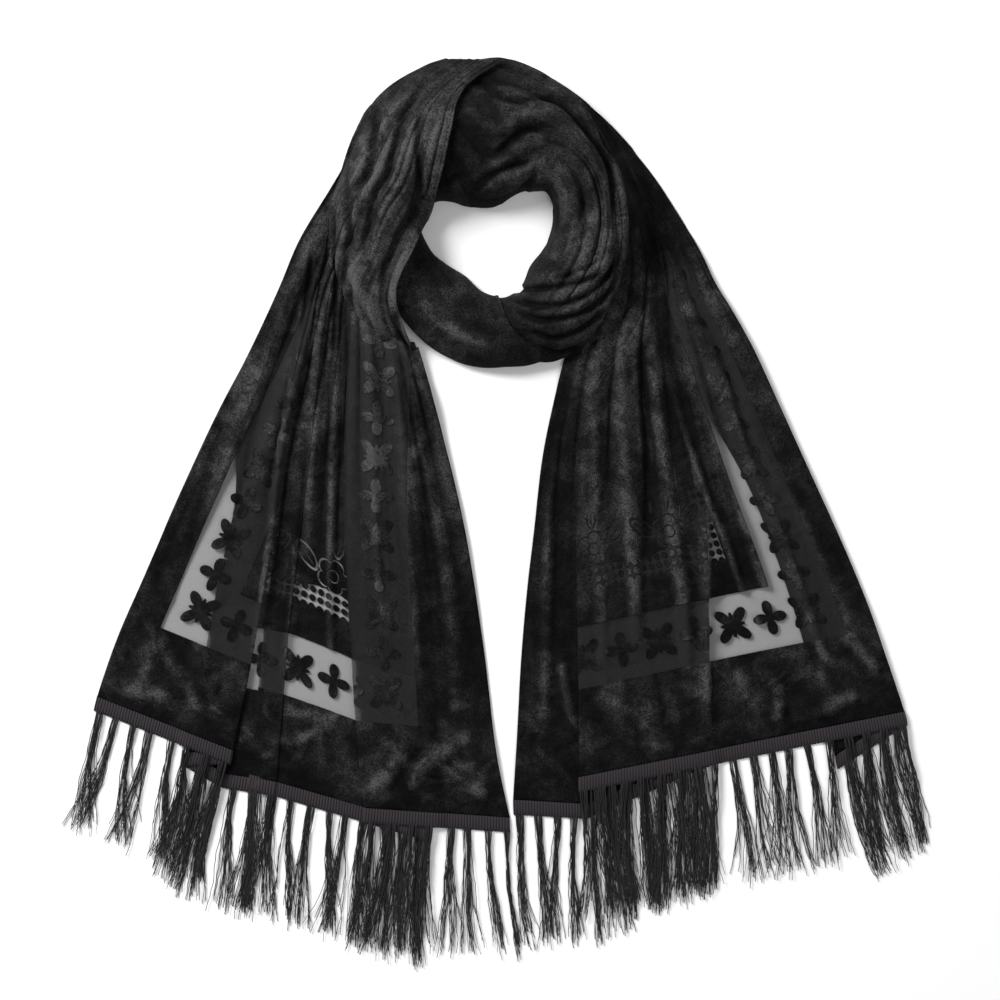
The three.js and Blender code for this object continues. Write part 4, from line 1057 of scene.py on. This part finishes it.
def gimp_finish(name, finish, rib_pitch):
    """Ribbed braid: dark glossy yarn, with a painted highlight on the ribs that is uneven along the braid."""
    material, tree, shader = new_material(name)
    vector, u, v = cloth_place(tree)
    rib = (u * (np.pi / rib_pitch)).one("COSINE").one("ABSOLUTE").step(0.55, 1.0)
    thread = (v * (2 * np.pi / 1.4) + u * 1.5).one("SINE") * 0.5 + 0.5
    # random strength of the painted highlight on the ribs
    uneven_rib_highlight = noise(tree, vector, 220.0).step(0.3, 0.7) * 0.9 + 0.2
    colour = blend_colour(tree, rib * (thread * 0.4 + 0.6) * uneven_rib_highlight, finish.yarn_dark, finish.braid_rib_highlight)
    tree.links.new(colour, shader.inputs["Base Color"])
    normal = bump(tree, rib + thread * 0.3, strength=0.7, distance=0.0005)
    tree.links.new(normal, shader.inputs["Normal"])
    shader.inputs["Roughness"].default_value = 0.6
    shader.inputs["Specular IOR Level"].default_value = 0.12
    return material


def yarn_finish(name, finish):
    """Twisted fringe yarn: dark, with a soft gloss, and a twist in its bump; its colour has a random tone for
    each yarn and a painted glint along the twist.
    """
    material, tree, shader = new_material(name)
    _, u, v = cloth_place(tree)
    # lighter along the twist: painted glint
    twist = (v * (2 * np.pi / 2.4) + u * 2.1).one("SINE") * 0.5 + 0.5
    tone = (u * 0.377).one("FRACT")
    colour = blend_colour(tree, twist * 0.35 + tone ** 2.0 * 0.8, finish.yarn_dark, finish.yarn_tone_and_glint)
    tree.links.new(colour, shader.inputs["Base Color"])
    normal = bump(tree, twist, strength=0.5, distance=0.0003)
    tree.links.new(normal, shader.inputs["Normal"])
    shader.inputs["Roughness"].default_value = 0.42
    shader.inputs["Specular IOR Level"].default_value = 0.3
    return material


CORE_SECTIONS = 180           # sections of the under folds round the neck opening
CORE_INSET = 22               # the under folds end this far inside the heap's foot
FLOOR_HALF = 4000.0           # half the side of the floor


# ---- what a user may change ------------------------------------------------------------------------
class StoleSizes(PropertyGroup):
    """Sizes of the stole, in millimetres."""

    cloth: FloatProperty(
        name="Cloth", description="Thickness of the velvet in mm", default=0.9, min=0.3)
    pleat_step: FloatProperty(
        name="Pleat step", description="Rise from one layer to the next in mm", default=2.0)
    braid_depth: FloatProperty(
        name="Braid depth", description="Depth of the braid heading in mm", default=12.8)
    rib_pitch: FloatProperty(
        name="Rib pitch", description="Distance between the braid's ribs in mm", default=2.9)
    yarn: FloatProperty(
        name="Yarn", description="Thickness of a fringe yarn in mm", default=0.95)
    tassel_pitch: FloatProperty(
        name="Tassel pitch", description="Distance between tassels in mm", default=19.0)
    tassel_width: FloatProperty(
        name="Tassel width", description="Width of a tassel at the braid in mm", default=8.0)
    yarns: IntProperty(
        name="Yarns", description="Yarns in each tassel", default=18, min=3)


class StoleFinish(PropertyGroup):
    """Colours of the stole and how much its sheer ground covers."""

    # both velvet colours give the pile's random tone, and also the painted highlight on fold crests and
    # painted shade in valleys
    velvet_dark_tone_and_shade: FloatVectorProperty(
        name="Velvet, dark", description="Pile that lies away", subtype="COLOR",
        default=(0.0008, 0.0008, 0.0008))
    velvet_light_tone_and_highlight: FloatVectorProperty(
        name="Velvet, light", description="Pile that leans to the light", subtype="COLOR",
        default=(0.062, 0.062, 0.064))
    ground: FloatVectorProperty(
        name="Ground cloth", description="Where the pile is burnt out", subtype="COLOR",
        default=(0.028, 0.028, 0.029))
    sheen: FloatProperty(
        name="Sheen", description="Sheen on the pile's slopes", default=0.05, subtype="FACTOR")
    ground_cover: FloatProperty(
        name="Ground cover", description="Share of light each face of the sheer ground stops",
        default=0.3, subtype="FACTOR")
    yarn_dark: FloatVectorProperty(
        name="Yarn, dark", description="Between the twists", subtype="COLOR",
        default=(0.003, 0.003, 0.003))
    # painted highlight on the braid's ribs
    braid_rib_highlight: FloatVectorProperty(
        name="Braid, light", description="On the ribs", subtype="COLOR", default=(0.36, 0.36, 0.36))
    # random tone of each yarn, and a painted glint along the twist
    yarn_tone_and_glint: FloatVectorProperty(
        name="Yarn, light", description="On the twists", subtype="COLOR",
        default=(0.045, 0.045, 0.046))


def settle(piece, node):
    """Hangs a piece on the frame's body, and hides the node that it stands for."""
    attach(piece, "root")
    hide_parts(node)


def material_once(name, make, *terms):
    """A material by name, made the first time that it is asked for."""
    return bpy.data.materials.get(name) or make(name, *terms)


class StoleOperator:
    """What every operator of the stole shares."""

    bl_options = {"REGISTER", "UNDO"}

    def execute(self, context):
        self.build(context.scene.stole_sizes, context.scene.stole_finish)
        return {"FINISHED"}


class AddUnderFolds(StoleOperator, Operator):
    """Add the rounded core of hidden folds under the cloth round the neck"""

    bl_idname = "stole.add_under_folds"
    bl_label = "Under folds"

    def build(self, sizes, finish):
        """A ring whose section follows the heap, a little lower, closed by a flat underside."""
        turn = np.linspace(0, 360, CORE_SECTIONS, endpoint=False)[:, None]
        inner, foot, crest, _, _ = heap_at(turn)
        outer = foot - CORE_INSET
        over = np.concatenate([crest - np.array([0.9, 0.75, 0.5, 0.25, 0]) * (crest - inner),
                               crest + np.array([0.2, 0.4, 0.6, 0.8, 1]) * (outer - crest)], axis=1)
        angle = np.radians(turn)
        x, y = NECK[0] + over * np.cos(angle), NECK[1] + over * np.sin(angle)
        top = drape(x, y, LIFT["core"] + 0.5 * soft_noise(x, y, 14, 41))
        level = lambda r, z: np.stack(
            [NECK[0] + r * np.cos(angle), NECK[1] + r * np.sin(angle), z + 0 * r], axis=-1)
        ring = np.concatenate([level(inner + 4, 0.1), level(inner + 5, 2.4), top,
                               level(outer - 1, 0.6), level(outer - 4, 0.1)], axis=1)
        rows, columns = ring.shape[:2]
        i, j = np.meshgrid(np.arange(rows), np.arange(columns), indexing="ij")
        after, beside = (i + 1) % rows, (j + 1) % columns
        at = lambda a, b: (a * columns + b).ravel()
        faces = np.stack([at(i, j), at(i, beside), at(after, beside), at(after, j)], axis=1)
        uv = np.stack([j * 9.0, i * 5.0], axis=-1)
        material = material_once("plain_velvet", plain_velvet, finish)
        settle(make_piece("under_folds", ring, faces, material, uv), "hidden_folds")


class AddRightEnd(StoleOperator, Operator):
    """Add the right end of the stole, pleated, with its outer edge turned under"""

    bl_idname = "stole.add_right_end"
    bl_label = "Right end"

    def build(self, sizes, finish):
        # 0.3 and 0.0 are painted sheen: a little lighter towards the neck, none in the far border
        material = material_once("right_end_velvet", patterned_velvet, finish, 0.3, 0.0)
        piece = end_cloth(RIGHT_END, sizes, material)
        settle(piece, "right_tail")


class AddNeckTurn(StoleOperator, Operator):
    """Add the gathered turn round the back and right of the neck"""

    bl_idname = "stole.add_neck_turn"
    bl_label = "Neck turn"

    def build(self, sizes, finish):
        # 0.9 is painted sheen: the neck turn a little darker than plain velvet
        material = material_once("neck_velvet", plain_velvet, finish, 0.9)
        piece = turned_cloth("neck_turn_cloth", NECK_ROWS, 280, 120, neck_lift, sizes, material)
        settle(piece, "neck_turn")


class AddThroatBand(StoleOperator, Operator):
    """Add the smooth band across the throat"""

    bl_idname = "stole.add_throat_band"
    bl_label = "Throat band"

    def build(self, sizes, finish):
        # 3.0 is painted sheen: the throat band three times as light as plain velvet
        material = material_once("throat_velvet", plain_velvet, finish, 3.0)
        piece = turned_cloth("throat_band", BAND_ROWS, 130, 80, band_lift, sizes, material)
        settle(piece, "front_band")


class AddLeftEnd(StoleOperator, Operator):
    """Add the left end of the stole, pleated twice and rolled over the back of the neck"""

    bl_idname = "stole.add_left_end"
    bl_label = "Left end"

    def build(self, sizes, finish):
        # 2.4 and 1.8 are painted sheen: lighter towards the neck and in the far border
        material = material_once("left_end_velvet", patterned_velvet, finish, 2.4, 1.8)
        piece = end_cloth(LEFT_END, sizes, material)
        settle(piece, "left_tail")


class AddBraids(StoleOperator, Operator):
    """Add the ribbed braid heading at both hems"""

    bl_idname = "stole.add_braids"
    bl_label = "Braids"

    def build(self, sizes, finish):
        material = material_once("gimp_braid", gimp_finish, finish, sizes.rib_pitch)
        for end in (LEFT_END, RIGHT_END):
            settle(braid_wall(end, sizes, material), f"{end.side}_braid")


class AddFringes(StoleOperator, Operator):
    """Add the tassels of yarn at both hems"""

    bl_idname = "stole.add_fringes"
    bl_label = "Fringes"

    def build(self, sizes, finish):
        material = material_once("fringe_yarn", yarn_finish, finish)
        for end in (LEFT_END, RIGHT_END):
            settle(fringe_yarns(end, sizes, material), f"{end.side}_fringe")


class AddStage(Operator):
    """Add the pale floor, the soft lights and the camera"""

    bl_idname = "stole.add_stage"
    bl_label = "Stage"

    def execute(self, context):
        floor_material, tree, shader = new_material("pale_floor")
        place = tree.nodes.new("ShaderNodeTexCoord").outputs["Object"]
        tone = blend_colour(tree, noise(tree, place, 3.0), (0.93, 0.93, 0.93), (0.95, 0.95, 0.95))
        tree.links.new(tone, shader.inputs["Base Color"])
        shader.inputs["Roughness"].default_value = 0.9
        half = FLOOR_HALF
        corners = np.array([(-half, -half, 0), (half, -half, 0), (half, half, 0), (-half, half, 0)])
        floor = make_piece("floor", corners, np.array([[0, 1, 2, 3]]), floor_material)
        self.light("key", (-1.9, 1.6, 1.7), 1.3, 135)
        self.light("fill", (1.4, -0.9, 2.6), 2.0, 26)
        world = bpy.data.worlds.new("studio")
        world.use_nodes = True
        world.node_tree.nodes["Background"].inputs["Color"].default_value = (1, 1, 1, 1)
        world.node_tree.nodes["Background"].inputs["Strength"].default_value = 0.3
        context.scene.world = world
        context.scene.view_settings.view_transform = "Standard"
        data = bpy.data.cameras.new("overhead")
        data.lens, data.sensor_width = 108, 36
        camera = bpy.data.objects.new("overhead", data)
        camera.location = (0.0011, 0.0134, 3.0)
        context.collection.objects.link(camera)
        context.scene.camera = camera
        return {"FINISHED"}

    def light(self, name, place, size, power):
        """A square area light that points at the middle of the stole."""
        data = bpy.data.lights.new(name, "AREA")
        data.size, data.energy = size, power
        lamp = bpy.data.objects.new(name, data)
        lamp.location = place
        lamp.rotation_euler = (-lamp.location).to_track_quat("-Z", "Y").to_euler()
        bpy.context.collection.objects.link(lamp)


PIECES = (AddUnderFolds, AddRightEnd, AddNeckTurn, AddThroatBand, AddLeftEnd, AddBraids, AddFringes, AddStage)


class StolePanel(Panel):
    """The stole's sizes, finishes and pieces in the sidebar"""

    bl_idname = "VIEW3D_PT_stole"
    bl_label = "Evening stole"
    bl_space_type = "VIEW_3D"
    bl_region_type = "UI"
    bl_category = "Stole"

    def draw(self, context):
        for group in (context.scene.stole_sizes, context.scene.stole_finish):
            for name in group.bl_rna.properties.keys():
                if name not in {"rna_type", "name"}:
                    self.layout.prop(group, name)
        for operator in PIECES:
            self.layout.operator(operator.bl_idname)


CLASSES = (StoleSizes, StoleFinish, *PIECES, StolePanel)


def register():
    for one in CLASSES:
        bpy.utils.register_class(one)
    bpy.types.Scene.stole_sizes = PointerProperty(type=StoleSizes)
    bpy.types.Scene.stole_finish = PointerProperty(type=StoleFinish)


def unregister():
    del bpy.types.Scene.stole_finish
    del bpy.types.Scene.stole_sizes
    for one in reversed(CLASSES):
        bpy.utils.unregister_class(one)


def main():
    """Builds everything in order."""
    register()
    for operator in PIECES:
        group, name = operator.bl_idname.split(".")
        getattr(getattr(bpy.ops, group), name)()


if __name__ == "__main__":
    main()
